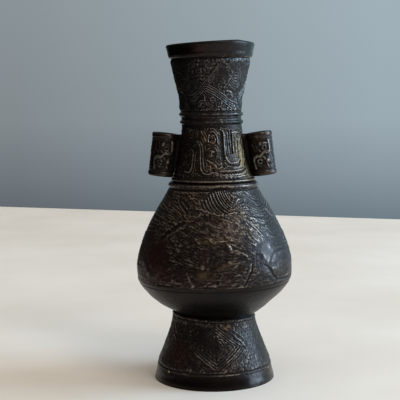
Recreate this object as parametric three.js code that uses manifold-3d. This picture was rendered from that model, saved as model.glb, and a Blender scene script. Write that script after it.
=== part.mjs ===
// Bronze arrow vase, in millimetres, +Z up, origin in the middle of the foot's lower edge.
// Five turned castings stand on each other: foot, bowl, belly, collar and neck. Each seam is a half lap,
// a spigot inside a socket, with the flat faces outside it meeting. Two open tubes, the ears, are riveted
// to the collar, and a plate held by three pins closes the foot. The bold relief is cast on: hooked bands and
// a ring boss round the collar, feathers, rocks and a round leaf on the belly, lozenge frames round the foot
// and the neck.
import * as THREE from "three";
import { mergeVertices } from "three/addons/utils/BufferGeometryUtils.js";
import Module from "manifold-3d";

// Heights of the castings, each standing on the one before.
const footHeight = 44;
const bowlHeight = 23.5;
const bellyHeight = 62.5;
const collarHeight = 36.5;
const neckHeight = 53.5;

// Outer radii.
const footRadius = 39.6; // the edge it rests on
const footBandRadius = 37.3; // top of the plain band
const waistRadius = 26.8; // top of the foot
const bellyRadius = 50.7; // widest
const shoulderRadius = 28.4; // top of the belly
const collarFootRadius = 26.2;
const throatRadius = 19.5; // top of the collar
const neckFootRadius = 20.1; // above the two rings
const neckTopRadius = 26.2; // under the mouth band
const mouthRadius = 28.7;

// Walls and seams.
const wall = 3.2;
const footRimWidth = 4.2;
const lapDepth = 5.5;
const lapClearance = 0.3;

// Mouldings.
const footBandHeight = 9.7;
const borderGroove = 0.8; // height of the cut above the plain band, twice its depth
const footLipHeight = 1.4;
const footLipProud = 0.4;
const ledgeOverhang = 0.5; // of the belly over the bowl
const ringHeight = 3.2;
const ringProud = 1;
const neckRingHeight = 2.8;
const neckRingProud = 0.8;
const neckRingPitch = 5;
const neckStrip = 1; // plain, under the lower ring
const mouthBandHeight = 9.6;
const mouthBandProud = 0.9;
const lipRound = 1.6;

// Relief.
const reliefProud = 0.6;
const reliefSunk = 0.5; // its foot, under the surface
const bandWidth = 3.2;
const lineWidth = 1.5;
const bossRadius = 3.3;
const leafRadius = 11.2;
const footLozengeAzimuth = 1.5; // of the one in front
const footLozengeSpan = 30; // degrees from its middle to a side corner
const footLozengeHeight = 13.2; // half its height
const footLozengeRise = 26.2; // from the foot's edge to its middle

// Ears.
const earRadius = 8.8;
const earBore = 6.4;
const earLength = 28;
const earOffset = 31.6; // from the vase's axis to the tube's, half way up the tube
const earDrop = 18.5; // from the collar's top to the middle of the tube
const earTilt = THREE.MathUtils.degToRad(7);
const earLipHeight = 3;
const earLipProud = 0.5;
const earWebWidth = 6;
const earSeatClearance = 0.3;

// Rivets, pins and the plate they hold.
const rivetRadius = 1.2;
const rivetHeadRadius = 2.3;
const rivetHeadHeight = 1.1;
const rivetSpacing = 13;
const rivetTail = 0.4; // proud of the tube's bore
const pinRadius = 0.8;
const pinGrip = 3;
const pinProud = 0.15;
const pinAzimuths = [-142, -22, 98].map(THREE.MathUtils.degToRad);
const fastenerClearance = 0.3;
const plateThickness = 3.4;
const plateRecess = 7; // from the edge the foot rests on up to the plate
const plateLedge = 2;
const plateSocketWall = 2.6;

// Fineness.
const turnedSides = 28;
const earSides = 20;
const fastenerSides = 12;

const ledgeZ = footHeight + bowlHeight;
const shoulderZ = ledgeZ + bellyHeight;
const throatZ = shoulderZ + collarHeight;
const mouthZ = throatZ + neckHeight;
const lapWall = (wall - lapClearance) / 2;

const wasm = await Module();
wasm.setup();

const at = (radius, z) => new THREE.Vector2(radius, z);
const zAxis = new THREE.Vector3(0, 0, 1);

// A smooth outline from one radius and height to another. Each step of its shape is
// [share of the height, share of the change of radius].
function outline(shape, from, to, pieces) {
  const mix = THREE.MathUtils.lerp;
  const points = shape.map(([up, out]) => at(mix(from.x, to.x, out), mix(from.y, to.y, up)));
  return new THREE.SplineCurve(points).getSpacedPoints(pieces);
}

// The radius of an outline at a height.
function radiusAt(points, z) {
  const next = points.findIndex((p) => p.y >= z);
  if (next === 0) return points[0].x;
  if (next < 0) return points.at(-1).x;
  const [low, high] = [points[next - 1], points[next]];
  return THREE.MathUtils.lerp(low.x, high.x, (z - low.y) / (high.y - low.y));
}

// An outline moved square to itself by a thickness, inwards if it runs upwards, and kept between two heights.
function offset(points, thickness, low, high) {
  return points
    .map((p, k) => {
      const before = points[Math.max(k - 1, 0)];
      const after = points[Math.min(k + 1, points.length - 1)];
      const along = after.clone().sub(before).normalize();
      return at(p.x - along.y * thickness, p.y + along.x * thickness);
    })
    .filter((p) => p.y > low && p.y < high);
}

// The outline of a raised ring with its middle at z, on a wall of the given radius.
function ring(radius, z, height, proud) {
  return [
    at(radius, z - height / 2),
    at(radius + proud, z - height / 5),
    at(radius + proud, z + height / 5),
    at(radius, z + height / 2),
  ];
}

// A solid turned round Z from an outline that closes on itself or on the axis.
function turned(points, sides) {
  return new THREE.LatheGeometry([...points, points[0]], sides).rotateX(Math.PI / 2);
}

function solid(geometry) {
  const bare = geometry.clone();
  bare.deleteAttribute("normal");
  bare.deleteAttribute("uv");
  const merged = mergeVertices(bare, 1e-4);
  const vertProperties = new Float32Array(merged.attributes.position.array);
  const triVerts = new Uint32Array(merged.index.array);
  return new wasm.Manifold(new wasm.Mesh({ numProp: 3, vertProperties, triVerts }));
}

function geometryOf(manifold) {
  const mesh = manifold.getMesh();
  return new THREE.BufferGeometry()
    .setAttribute("position", new THREE.BufferAttribute(mesh.vertProperties, 3))
    .setIndex(new THREE.BufferAttribute(mesh.triVerts, 1));
}

// A round bar lying along +X from one distance to another at height z, then turned to an azimuth.
function radialBar(radius, from, to, z, azimuth) {
  return new THREE.CylinderGeometry(radius, radius, to - from, fastenerSides)
    .rotateZ(-Math.PI / 2)
    .translate((from + to) / 2, 0, z)
    .rotateZ(azimuth);
}

// A raised line along [azimuth, z] points on a turned surface, azimuths in degrees from the front towards the
// right ear: a trapezium carried from point to point, with its foot sunk in the wall.
function ridge(surface, path, width, closed = false) {
  const points = path.map(([azimuth, z]) => {
    const turn = THREE.MathUtils.degToRad(azimuth - 90);
    return new THREE.Vector3(radiusAt(surface, z), 0, z).applyAxisAngle(zAxis, turn);
  });
  const count = points.length;
  const around = closed ? [points.at(-1), ...points, points[0]] : [points[0], ...points, points.at(-1)];
  const corners = points.flatMap((p, k) => {
    const steps = [p.clone().sub(around[k]), around[k + 2].clone().sub(p)].filter((s) => s.length() > 0);
    const along = steps.reduce((sum, s) => sum.add(s.normalize()), new THREE.Vector3()).normalize();
    const out = p.clone().setZ(0).normalize();
    const side = along.clone().cross(out).normalize().multiplyScalar(width / along.dot(steps[0]));
    return [[-0.5, -reliefSunk], [-0.3, reliefProud], [0.3, reliefProud], [0.5, -reliefSunk]].map(
      ([share, height]) => p.clone().addScaledVector(side, share).addScaledVector(out, height),
    );
  });
  const faces = closed ? [] : [0, 2, 1, 0, 3, 2].concat([0, 1, 2, 0, 2, 3].map((c) => c + 4 * (count - 1)));
  points.slice(closed ? 0 : 1).forEach((_, k) => {
    const [near, far] = [4 * k, 4 * ((k + 1) % count)];
    [0, 1, 2, 3].forEach((c) => {
      const d = (c + 1) % 4;
      faces.push(near + c, near + d, far + c, near + d, far + d, far + c);
    });
  });
  return solid(new THREE.BufferGeometry().setFromPoints(corners).setIndex(faces));
}

// A closed ring of ridges round a point of a turned surface.
function ringRidge(surface, azimuth, z, radius, width, pieces) {
  const path = Array.from({ length: pieces }, (_, k) => {
    const angle = (2 * Math.PI * k) / pieces;
    const across = THREE.MathUtils.radToDeg((radius * Math.cos(angle)) / radiusAt(surface, z));
    return [azimuth + across, z + radius * Math.sin(angle)];
  });
  return ridge(surface, path, width, true);
}

const halfTurns = [0, 180];
const quarterTurns = [0, 90, 180, 270];

// Ridges that curve through a few points each, repeated at each turn. Each band has its width, its number of
// pieces and its points, as [azimuth, share of the height from one level to another].
function bandRidges(surface, turns, bands, fromZ, toZ) {
  return turns.flatMap((turn) =>
    bands.map(([width, pieces, points]) => {
      const place = ([azimuth, share]) => new THREE.Vector2(azimuth + turn, THREE.MathUtils.lerp(fromZ, toZ, share));
      const curve = new THREE.SplineCurve(points.map(place));
      return ridge(surface, curve.getPoints(pieces).map((p) => p.toArray()), width);
    }),
  );
}

// Lozenge frames standing on a corner round a turned surface, a quarter turn apart.
function lozengeRow(surface, firstAzimuth, span, z, height, pieces) {
  const corner = [[0, -height], [span, 0], [0, height], [-span, 0]];
  const path = corner.flatMap((from, k) => {
    const to = corner[(k + 1) % 4];
    return Array.from({ length: pieces }, (_, step) =>
      [0, 1].map((part) => THREE.MathUtils.lerp(from[part], to[part], step / pieces)),
    );
  });
  return quarterTurns.map((turn) =>
    ridge(surface, path.map(([azimuth, rise]) => [firstAzimuth + turn + azimuth, z + rise]), lineWidth, true),
  );
}

const castBronze = new THREE.MeshStandardMaterial({ color: 0x2e2622, roughness: 0.42, metalness: 0.9 });
const plainBronze = new THREE.MeshStandardMaterial({ color: 0x29211d, roughness: 0.34, metalness: 0.9 });
const fastenerBronze = new THREE.MeshStandardMaterial({ color: 0x8a6a45, roughness: 0.45, metalness: 0.95 });

const vase = new THREE.Group();

function add(name, geometry, material) {
  const mesh = new THREE.Mesh(geometry, material);
  mesh.name = name;
  vase.add(mesh);
}

// Foot: a plain band, a flare up to the waist and a thin lip round the bowl. Inside, a ledge takes the plate.
const footBand = outline(
  [[0, 0], [0.5, 0.42], [1, 1]],
  at(footRadius, 0),
  at(footBandRadius, footBandHeight),
  2,
);
const flareShape = [[0, 0], [0.3, 0.31], [0.6, 0.69], [0.85, 0.93], [1, 1]];
const flareStart = at(footBandRadius, footBandHeight + borderGroove);
const flareEnd = at(waistRadius, footHeight - footLipHeight);
const footFlare = outline(flareShape, flareStart, flareEnd, 5);
const footSocket = waistRadius - lapWall;
const footSocketZ = footHeight - lapDepth - lapClearance;
const plateTop = plateRecess + plateThickness;
const plateSocket = radiusAt(footFlare, plateTop) - plateSocketWall;
const footInside = offset(
  outline(flareShape, flareStart, flareEnd, 4),
  wall,
  plateTop + plateLedge,
  footSocketZ - lapClearance,
).filter((p) => p.x < plateSocket - plateLedge && p.x > waistRadius - wall);
const footLoop = [
  ...footBand,
  at(footBandRadius - borderGroove / 2, footBandHeight + borderGroove / 2),
  ...footFlare,
  at(waistRadius + footLipProud, footHeight - footLipHeight / 2),
  at(waistRadius + footLipProud, footHeight),
  at(footSocket, footHeight),
  at(footSocket, footSocketZ),
  at(waistRadius - wall, footSocketZ),
  ...footInside.reverse(),
  at(plateSocket - plateLedge, plateTop + plateLedge),
  at(plateSocket - plateLedge, plateTop),
  at(plateSocket, plateTop),
  at(plateSocket, plateRecess),
  at(footRadius - footRimWidth, 0),
];

// Base plate, let in from below against the ledge, with pins through the foot's wall into its edge.
const plateRadius = plateSocket - lapClearance;
const plateLoop = [at(plateRadius, plateRecess), at(plateRadius, plateTop), at(0, plateTop), at(0, plateRecess)];
const pinZ = plateRecess + plateThickness / 2;
const pinStart = plateRadius - pinGrip;
const pinEnd = radiusAt([...footBand, ...footFlare], pinZ) + pinProud;
let foot = solid(turned(footLoop, turnedSides));
let plate = solid(turned(plateLoop, turnedSides));
const footLozenges = lozengeRow(
  footFlare,
  footLozengeAzimuth,
  footLozengeSpan,
  footLozengeRise,
  footLozengeHeight,
  2,
);
footLozenges.forEach((frame) => {
  foot = foot.add(frame);
});
pinAzimuths.forEach((azimuth, k) => {
  const hole = solid(
    radialBar(pinRadius + fastenerClearance, pinStart - fastenerClearance, pinEnd + wall, pinZ, azimuth),
  );
  foot = foot.subtract(hole);
  plate = plate.subtract(hole);
  add(`base_pin_${k + 1}`, radialBar(pinRadius, pinStart, pinEnd, pinZ, azimuth), fastenerBronze);
});
add("foot_casting", geometryOf(foot), castBronze);
add("base_plate", geometryOf(plate), plainBronze);

// Bowl: the plain underside, with one spigot down into the foot and one up into the belly.
const bowlShape = [[0, 0], [0.07, 0.03], [0.17, 0.17], [0.38, 0.475], [0.72, 0.84], [1, 1]];
const bowlStart = at(waistRadius, footHeight);
const bowlEnd = at(bellyRadius - ledgeOverhang, ledgeZ);
const bowlSpigotInside = waistRadius - wall;
const bellySocket = bellyRadius - lapWall - ledgeOverhang;
const bowlRimInside = bellySocket - lapClearance - lapWall;
const bowlInside = offset(
  outline(bowlShape, bowlStart, bowlEnd, 4),
  wall,
  footHeight + wall / 2,
  ledgeZ,
).filter((p) => p.x < bowlRimInside && p.x > bowlSpigotInside);
const bowlLoop = [
  ...outline(bowlShape, bowlStart, bowlEnd, 6),
  at(bellySocket - lapClearance, ledgeZ),
  at(bellySocket - lapClearance, ledgeZ + lapDepth),
  at(bowlRimInside, ledgeZ + lapDepth),
  ...bowlInside.reverse(),
  at(bowlSpigotInside, footHeight + wall / 2),
  at(bowlSpigotInside, footHeight - lapDepth),
  at(footSocket - lapClearance, footHeight - lapDepth),
  at(footSocket - lapClearance, footHeight),
];
add("bowl_casting", turned(bowlLoop, turnedSides), plainBronze);

// Belly: from the overhanging ledge up to the shoulder ring.
const bellyShape = [
  [0, 0.012], [0.12, 0], [0.26, 0.045], [0.45, 0.2], [0.66, 0.46], [0.78, 0.645], [0.88, 0.82], [0.96, 0.955], [1, 1],
];
const bellyStart = at(bellyRadius, ledgeZ);
const bellyEnd = at(shoulderRadius, shoulderZ - ringHeight);
const bellyOutside = outline(bellyShape, bellyStart, bellyEnd, 8);
const shoulderSocket = shoulderRadius - wall;
const shoulderSocketZ = shoulderZ - lapDepth - lapClearance;
const bellyInside = offset(
  outline(bellyShape, bellyStart, bellyEnd, 5),
  wall,
  ledgeZ + lapDepth + 2 * lapClearance,
  shoulderSocketZ,
).filter((p) => p.x > shoulderSocket);
const bellyLoop = [
  ...bellyOutside,
  ...ring(shoulderRadius, shoulderZ - ringHeight / 2, ringHeight, ringProud).slice(1),
  at(shoulderSocket, shoulderZ),
  at(shoulderSocket, shoulderSocketZ),
  ...bellyInside.reverse(),
  at(bellyInside.at(-1).x, ledgeZ + lapDepth + lapClearance),
  at(bellySocket, ledgeZ + lapDepth + lapClearance),
  at(bellySocket, ledgeZ),
];
let belly = solid(turned(bellyLoop, turnedSides));

// The belly's relief: a fan of barbs, the back of the bird's body, the rows on it, the ridge under it, its
// plumes and long feathers, rocks with water beside them and a round leaf. Shares run from the ledge up to the
// shoulder ring.
const bellyBands = [
  [lineWidth, 1, [[-9, 0.93], [-2, 0.78]]],
  [lineWidth, 1, [[6, 0.97], [9, 0.79]]],
  [lineWidth, 4, [[-32, 0.71], [-15, 0.76], [14, 0.755], [33, 0.725]]],
  [lineWidth, 4, [[-20, 0.6], [4, 0.64], [28, 0.58]]],
  [lineWidth, 3, [[-13, 0.525], [-2, 0.47], [8, 0.475], [21, 0.405]]],
  [bandWidth, 3, [[24, 0.725], [35, 0.62], [43.5, 0.47]]],
  [lineWidth, 2, [[27, 0.45], [35, 0.42], [43, 0.31]]],
  [lineWidth, 2, [[13, 0.75], [20, 0.845], [34, 0.96]]],
  [lineWidth, 1, [[-42, 0.9], [-27, 0.8]]],
  [lineWidth, 2, [[-76, 0.88], [-62, 0.85], [-47, 0.79]]],
  [lineWidth, 2, [[-58, 0.75], [-44, 0.725], [-33, 0.66]]],
  [lineWidth, 1, [[-36, 0.5], [-24, 0.52]]],
  [lineWidth, 2, [[38.5, 0.22], [46.5, 0.1], [62, 0.045]]],
  [lineWidth, 3, [[43, 0.26], [50, 0.36], [62, 0.415], [76, 0.345]]],
  [lineWidth, 2, [[29, 0.33], [30, 0.16], [42, 0.05]]],
  [lineWidth, 2, [[46, 0.5], [62, 0.46], [80, 0.49]]],
];
const [leafAzimuth, leafShare, leafPieces] = [-54.5, 0.26, 8];
bandRidges(bellyOutside, halfTurns, bellyBands, bellyStart.y, bellyEnd.y).forEach((band) => {
  belly = belly.add(band);
});
halfTurns.forEach((turn) => {
  const z = THREE.MathUtils.lerp(bellyStart.y, bellyEnd.y, leafShare);
  belly = belly.add(ringRidge(bellyOutside, leafAzimuth + turn, z, leafRadius, lineWidth, leafPieces));
});
add("belly_casting", geometryOf(belly), castBronze);

// Collar: a foot ring, then a band that narrows in a hollow curve. It carries the ears.
const collarShape = [[0, 0], [0.18, 0.33], [0.43, 0.63], [0.66, 0.84], [0.82, 0.935], [1, 1]];
const collarStart = at(collarFootRadius, shoulderZ + ringHeight);
const collarEnd = at(throatRadius, throatZ);
const collarOutside = outline(collarShape, collarStart, collarEnd, 5);
const collarSpigot = shoulderSocket - lapClearance;
const throatSocket = throatRadius - lapWall;
const throatSocketZ = throatZ - lapDepth - lapClearance;
const collarInside = offset(
  outline(collarShape, collarStart, collarEnd, 4),
  wall,
  shoulderZ,
  throatSocketZ - lapClearance,
).filter((p) => p.x < collarSpigot - lapWall && p.x > throatRadius - wall);
const collarFace = [
  ...ring(collarFootRadius, shoulderZ + ringHeight / 2, ringHeight, ringProud).slice(0, 3),
  ...collarOutside,
];
const collarLoop = [
  ...collarFace,
  at(throatSocket, throatZ),
  at(throatSocket, throatSocketZ),
  at(throatRadius - wall, throatSocketZ),
  ...collarInside.reverse(),
  at(collarSpigot - lapWall, shoulderZ - lapDepth),
  at(collarSpigot, shoulderZ - lapDepth),
  at(collarSpigot, shoulderZ),
];
let collar = solid(turned(collarLoop, turnedSides));

// The collar's relief: hooked bands, double lines that turn under, an arch over a ring boss, a curl and a
// bottom line. Shares run from the collar's top down.
const collarBands = [
  [bandWidth, 6, [[25, 0.1], [25, 0.4], [34, 0.58], [43, 0.4], [43, 0.1]]],
  [lineWidth, 1, [[34, 0.1], [34, 0.42]]],
  [bandWidth, 5, [[55, 0.12], [55, 0.42], [49, 0.64], [34, 0.7], [24, 0.67]]],
  [lineWidth, 5, [[-29, 0.23], [-21, 0.45], [-19, 0.71], [-12, 0.82], [-2.5, 0.81]]],
  [lineWidth, 4, [[-22.5, 0.23], [-16, 0.48], [-14, 0.7], [-9, 0.74]]],
  [bandWidth, 2, [[-36, 0.38], [-34, 0.6], [-34.5, 0.77]]],
  [bandWidth, 3, [[-55, 0.3], [-50, 0.58], [-40, 0.77]]],
  [lineWidth, 1, [[-18.5, 0.1], [-11.5, 0.26]]],
  [lineWidth, 4, [[-7, 0.26], [-2, 0.08], [4, 0.12], [9, 0.34]]],
  [lineWidth, 3, [[10, 0.78], [33, 0.79], [56, 0.74]]],
  [bandWidth, 3, [[-8, 0.59], [2, 0.7], [13, 0.71]]],
];
const [bossAzimuth, bossShare, bossPieces] = [-1.5, 0.47, 8];
bandRidges(collarOutside, halfTurns, collarBands, throatZ, shoulderZ).forEach((band) => {
  collar = collar.add(band);
});
halfTurns.forEach((turn) => {
  const z = throatZ - bossShare * collarHeight;
  collar = collar.add(ringRidge(collarOutside, bossAzimuth + turn, z, bossRadius, bandWidth / 2, bossPieces));
});

// Ears: a tube with a lip at each end, leaning with the collar, and a web cut to sit on the collar's curve.
const earZ = throatZ - earDrop;
const earSeat = solid(
  turned(
    [
      ...collarFace.map((p) => at(p.x + earSeatClearance, p.y)),
      at(0, throatZ),
      at(0, shoulderZ),
    ],
    turnedSides,
  ),
);
const halfEar = earLength / 2;
const earLoop = [
  at(earRadius, -halfEar),
  at(earRadius, earLipHeight - halfEar),
  at(earRadius - earLipProud, earLipHeight + earLipProud - halfEar),
  at(earRadius - earLipProud, halfEar - earLipHeight - earLipProud),
  at(earRadius, halfEar - earLipHeight),
  at(earRadius, halfEar),
  at(0, halfEar),
  at(0, -halfEar),
];
const webHeight = earLength - 2 * earLipHeight;
const lean = (geometry) => geometry.rotateY(-earTilt).translate(earOffset, 0, earZ);
const earTube = solid(lean(turned(earLoop, earSides)));
const earWeb = solid(
  lean(new THREE.BoxGeometry(earOffset, earWebWidth, webHeight).translate(-earOffset / 2, 0, 0)),
);
const earHollow = solid(
  lean(new THREE.CylinderGeometry(earBore, earBore, 2 * earLength, earSides).rotateX(Math.PI / 2)),
);
let ear = earTube.add(earWeb).subtract(earHollow).subtract(earSeat);

// Rivets: headed inside the collar, through its wall and the ear's, with the tail just proud in the bore.
const rivets = [["upper", rivetSpacing / 2], ["lower", -rivetSpacing / 2]].map(([place, up]) => {
  const z = earZ + up;
  const wallInside = radiusAt(offset(collarOutside, wall, shoulderZ, throatZ), z + rivetHeadRadius);
  const headFace = Math.sqrt(wallInside ** 2 - rivetHeadRadius ** 2) - fastenerClearance;
  const boreSide = earOffset - up * Math.tan(earTilt) - earBore / Math.cos(earTilt);
  const hole = radialBar(rivetRadius + fastenerClearance, headFace, earOffset - up * Math.tan(earTilt), z, 0);
  const head = radialBar(rivetHeadRadius, headFace - rivetHeadHeight, headFace, z, 0);
  const shank = radialBar(rivetRadius, headFace - rivetHeadHeight / 2, boreSide + rivetTail, z, 0);
  return { place, hole, rivet: geometryOf(solid(head).add(solid(shank))) };
});
rivets.forEach(({ hole }) => {
  collar = collar.subtract(solid(hole)).subtract(solid(hole.clone().rotateZ(Math.PI)));
  ear = ear.subtract(solid(hole));
});
add("collar_casting", geometryOf(collar), castBronze);
[["left", Math.PI], ["right", 0]].forEach(([side, azimuth]) => {
  add(`${side}_ear`, geometryOf(ear).rotateZ(azimuth), castBronze);
  rivets.forEach(({ place, rivet }) => {
    add(`${side}_ear_rivet_${place}`, rivet.clone().rotateZ(azimuth), fastenerBronze);
  });
});

// Neck: a strip with two rings, a trumpet flare and the plain mouth band with a rounded lip.
const lowerRingZ = throatZ + neckStrip + neckRingHeight / 2;
const upperRingZ = lowerRingZ + neckRingPitch;
const neckShape = [[0, 0], [0.17, 0.03], [0.32, 0.15], [0.48, 0.36], [0.63, 0.555], [0.8, 0.76], [1, 1]];
const neckStart = at(neckFootRadius, upperRingZ + neckRingHeight / 2);
const neckEnd = at(neckTopRadius, mouthZ - mouthBandHeight);
const neckOutside = outline(neckShape, neckStart, neckEnd, 5);
const neckSpigot = throatSocket - lapClearance;
const neckInside = offset(
  [...outline(neckShape, neckStart, neckEnd, 4), at(mouthRadius - mouthBandProud, mouthZ)],
  wall,
  throatZ,
  mouthZ - lipRound,
);
const neckLoop = [
  at(throatRadius, throatZ),
  ...ring(throatRadius, lowerRingZ, neckRingHeight, neckRingProud),
  ...ring(throatRadius, upperRingZ, neckRingHeight, neckRingProud).slice(0, 3),
  ...neckOutside,
  at(neckTopRadius + mouthBandProud, mouthZ - mouthBandHeight + mouthBandProud),
  at(mouthRadius, mouthZ - lipRound),
  at(mouthRadius - lipRound * (1 - Math.SQRT1_2), mouthZ - lipRound * (1 - Math.SQRT1_2)),
  at(mouthRadius - lipRound, mouthZ),
  at(mouthRadius - wall, mouthZ),
  ...neckInside.reverse(),
  at(throatRadius - wall, throatZ),
  at(throatRadius - wall, throatZ - lapDepth),
  at(neckSpigot, throatZ - lapDepth),
  at(neckSpigot, throatZ),
];
let neck = solid(turned(neckLoop, turnedSides));

// The neck's relief: a lattice of bands that climb and fall round it. Shares run from the upper ring up to
// the mouth band.
const neckBands = [
  [bandWidth, 4, [[-46, 0.23], [-28, 0.35], [-9, 0.54], [12, 0.83]]],
  [bandWidth, 3, [[-9, 0.46], [23, 0.26], [44, 0.13]]],
  [bandWidth, 4, [[12, 0.84], [28, 0.66], [43, 0.53], [58, 0.64], [76, 0.74]]],
];
bandRidges(neckOutside, quarterTurns, neckBands, neckStart.y, neckEnd.y).forEach((band) => {
  neck = neck.add(band);
});
add("neck_casting", geometryOf(neck), castBronze);

export default vase;
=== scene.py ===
import bpy
import numpy as np
from mathutils import Matrix, Vector


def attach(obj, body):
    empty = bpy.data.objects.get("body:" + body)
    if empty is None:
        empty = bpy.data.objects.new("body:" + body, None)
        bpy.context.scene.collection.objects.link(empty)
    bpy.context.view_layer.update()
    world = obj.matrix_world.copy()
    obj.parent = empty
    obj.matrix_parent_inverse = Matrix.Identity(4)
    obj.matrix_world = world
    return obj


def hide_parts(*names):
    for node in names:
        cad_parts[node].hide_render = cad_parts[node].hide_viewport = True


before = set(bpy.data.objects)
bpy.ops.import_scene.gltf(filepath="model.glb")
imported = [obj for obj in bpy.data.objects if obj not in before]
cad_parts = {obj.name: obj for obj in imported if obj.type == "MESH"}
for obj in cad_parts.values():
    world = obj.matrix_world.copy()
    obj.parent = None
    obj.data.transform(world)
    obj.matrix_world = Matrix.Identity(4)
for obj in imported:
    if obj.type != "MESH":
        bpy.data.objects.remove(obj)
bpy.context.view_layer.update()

print("frame loaded:", len(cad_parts), "nodes")

# Lengths in this script are in millimetres until a mesh, lamp or camera is made. Azimuths are in degrees
# from the front of the vase towards its right ear, and heights are above the edge that it stands on.
millimetre = 0.001
wall = 3.2


# Curves

# The length along a line of points, from the first point to each.
def lengthAlong(points):
    return np.concatenate([[0], np.cumsum(np.linalg.norm(np.diff(points, axis=0), axis=1))])


# A smooth curve through points: between two points a cubic, whose slope at a point runs from the point
# before it to the point after it. It comes back in even steps of about the spacing asked for.
def smoothCurve(points, spacing):
    points = np.asarray(points, float)
    chord = lengthAlong(points)
    slope = np.gradient(points, chord, axis=0)
    fine = np.linspace(0, chord[-1], 30 * len(points))
    k = np.clip(np.searchsorted(chord, fine, side="right") - 1, 0, len(chord) - 2)
    width = (chord[k + 1] - chord[k])[:, None]
    t = (fine - chord[k])[:, None] / width
    curve = (
        (2 * t**3 - 3 * t**2 + 1) * points[k]
        + (t**3 - 2 * t**2 + t) * width * slope[k]
        + (3 * t**2 - 2 * t**3) * points[k + 1]
        + (t**3 - t**2) * width * slope[k + 1]
    )
    length = lengthAlong(curve)
    even = np.linspace(0, length[-1], max(int(round(length[-1] / spacing)), 1) + 1)
    return np.column_stack([np.interp(even, length, curve[:, c]) for c in range(points.shape[1])])


# Unit vectors square to a curve of [radius, height] points that runs upwards, pointing away from the axis.
def outwards(curve):
    along = np.gradient(curve, axis=0)
    along /= np.linalg.norm(along, axis=1, keepdims=True)
    return np.column_stack([along[:, 1], -along[:, 0]])


# A curve moved inwards, square to itself, by a thickness, and kept between two heights.
def insideOf(curve, thickness, low, high):
    inner = curve - outwards(curve) * thickness
    return inner[(inner[:, 1] > low) & (inner[:, 1] < high)]


# From 0 at one place to 1 at the other, by the cubic 3 t^2 - 2 t^3.
def eased(z, low, high):
    t = np.clip((z - low) / (high - low), 0, 1)
    return t * t * (3 - 2 * t)


# Relief, drawn on a strip of the surface rolled out flat

carver = {
    "spacing": 1.5,  # mm between the points of a line
    "guideSpacing": 0.5,
    "fullness": 0.7,  # the power in a line's section: a half circle is 0.5, a lower number is squarer
    "widths": (0.85, 1.15),  # how lines side by side differ
    "heights": (0.8, 1.1),
    "unsteady": 0.4,  # the part of a wobble that changes along a line
}


# An empty strip over an outer curve: one column for each step of azimuth and one row for each step of the
# curve. It goes a whole number of times round the piece.
def newStrip(outer, columns, repeats):
    strip = {"step": 360 / columns, "repeats": repeats, "radius": outer[:, 0], "z": outer[:, 1]}
    for layer in ("raised", "cut", "moulding"):
        strip[layer] = np.zeros((len(outer), columns // repeats))
    return {**strip, "along": lengthAlong(outer)}


# The cells near a path of [azimuth, height] points, and each one's distance to it in millimetres. A cell
# measures in its own row's scale, and its distance is the least of those to the path's straight pieces.
def cellsNear(strip, path, reach):
    path = np.asarray(path, float)
    z, radius, along = strip["z"], strip["radius"], strip["along"]
    rows = np.nonzero((z > path[:, 1].min() - reach) & (z < path[:, 1].max() + reach))[0]
    if not len(rows):
        return None
    margin = np.degrees(reach / radius[rows].min())
    first = int(np.floor((path[:, 0].min() - margin) / strip["step"]))
    last = int(np.ceil((path[:, 0].max() + margin) / strip["step"]))
    columns = np.arange(first, min(last, first + strip["raised"].shape[1] - 1) + 1)
    perDegree = np.radians(1) * radius[rows][:, None, None]
    height = np.interp(path[:, 1], z, along)
    across = (columns[None, :, None] * strip["step"] - path[None, None, :-1, 0]) * perDegree
    up = along[rows][:, None, None] - height[None, None, :-1]
    pieceAcross = np.diff(path[:, 0])[None, None] * perDegree
    pieceUp = np.diff(height)[None, None]
    square = pieceAcross**2 + pieceUp**2 + 1e-9
    t = np.clip((across * pieceAcross + up * pieceUp) / square, 0, 1)
    distance = np.sqrt((across - t * pieceAcross) ** 2 + (up - t * pieceUp) ** 2).min(axis=2)
    return rows[:, None], columns[None], distance


# Sets a shape into a layer where it is higher than what is there. Columns past the end come round.
def raiseTo(layer, rows, columns, shape):
    columns = columns % layer.shape[1]
    layer[rows, columns] = np.maximum(layer[rows, columns], shape)


# A rounded section: full height in the middle, falling to nothing at half its width, by a power of
# 1 - (2 distance / width)^2.
def rounded(distance, width, height):
    return height * np.clip(1 - (2 * distance / width) ** 2, 0, 1) ** carver["fullness"]


# A line of rounded section along a path.
def drawLine(strip, path, width, height, layer="raised"):
    near = cellsNear(strip, path, width / 2)
    if near is not None:
        rows, columns, distance = near
        raiseTo(strip[layer], rows, columns, rounded(distance, width, height))


# A patch inside a closed path: full height inside, falling off over the edge width. A cell is inside when a
# level line from it crosses the path an odd number of times.
def drawPatch(strip, path, height, edge, layer="raised"):
    closed = np.vstack([path, path[:1]])
    near = cellsNear(strip, closed, edge)
    if near is None:
        return
    rows, columns, distance = near
    azimuth, z = columns * strip["step"], strip["z"][rows]
    inside = np.zeros(distance.shape, bool)
    for (fromAzimuth, fromZ), (toAzimuth, toZ) in zip(closed[:-1], closed[1:]):
        crosses = (z < fromZ) != (z < toZ)
        share = (z - fromZ) / (toZ - fromZ if toZ != fromZ else 1)
        inside ^= crosses & (azimuth < fromAzimuth + share * (toAzimuth - fromAzimuth))
    signed = np.where(inside, distance, -distance)
    raiseTo(strip[layer], rows, columns, height * np.clip(0.5 + signed / edge, 0, 1))


# A smooth closed curve through points, from the first round to just before it.
def closedCurve(points):
    return smoothCurve([*points, points[0]], carver["spacing"])[:-1]


# A form with a smooth outline through a few points, all the way round.
def drawForm(strip, points, height, edge, layer="raised"):
    drawPatch(strip, closedCurve(points), height, edge, layer)


# A panel: its outline is smooth through the points, with a straight side from the last to the first.
def drawPanel(strip, points, height, edge):
    drawPatch(strip, smoothCurve(points, carver["spacing"]), height, edge)


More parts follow.
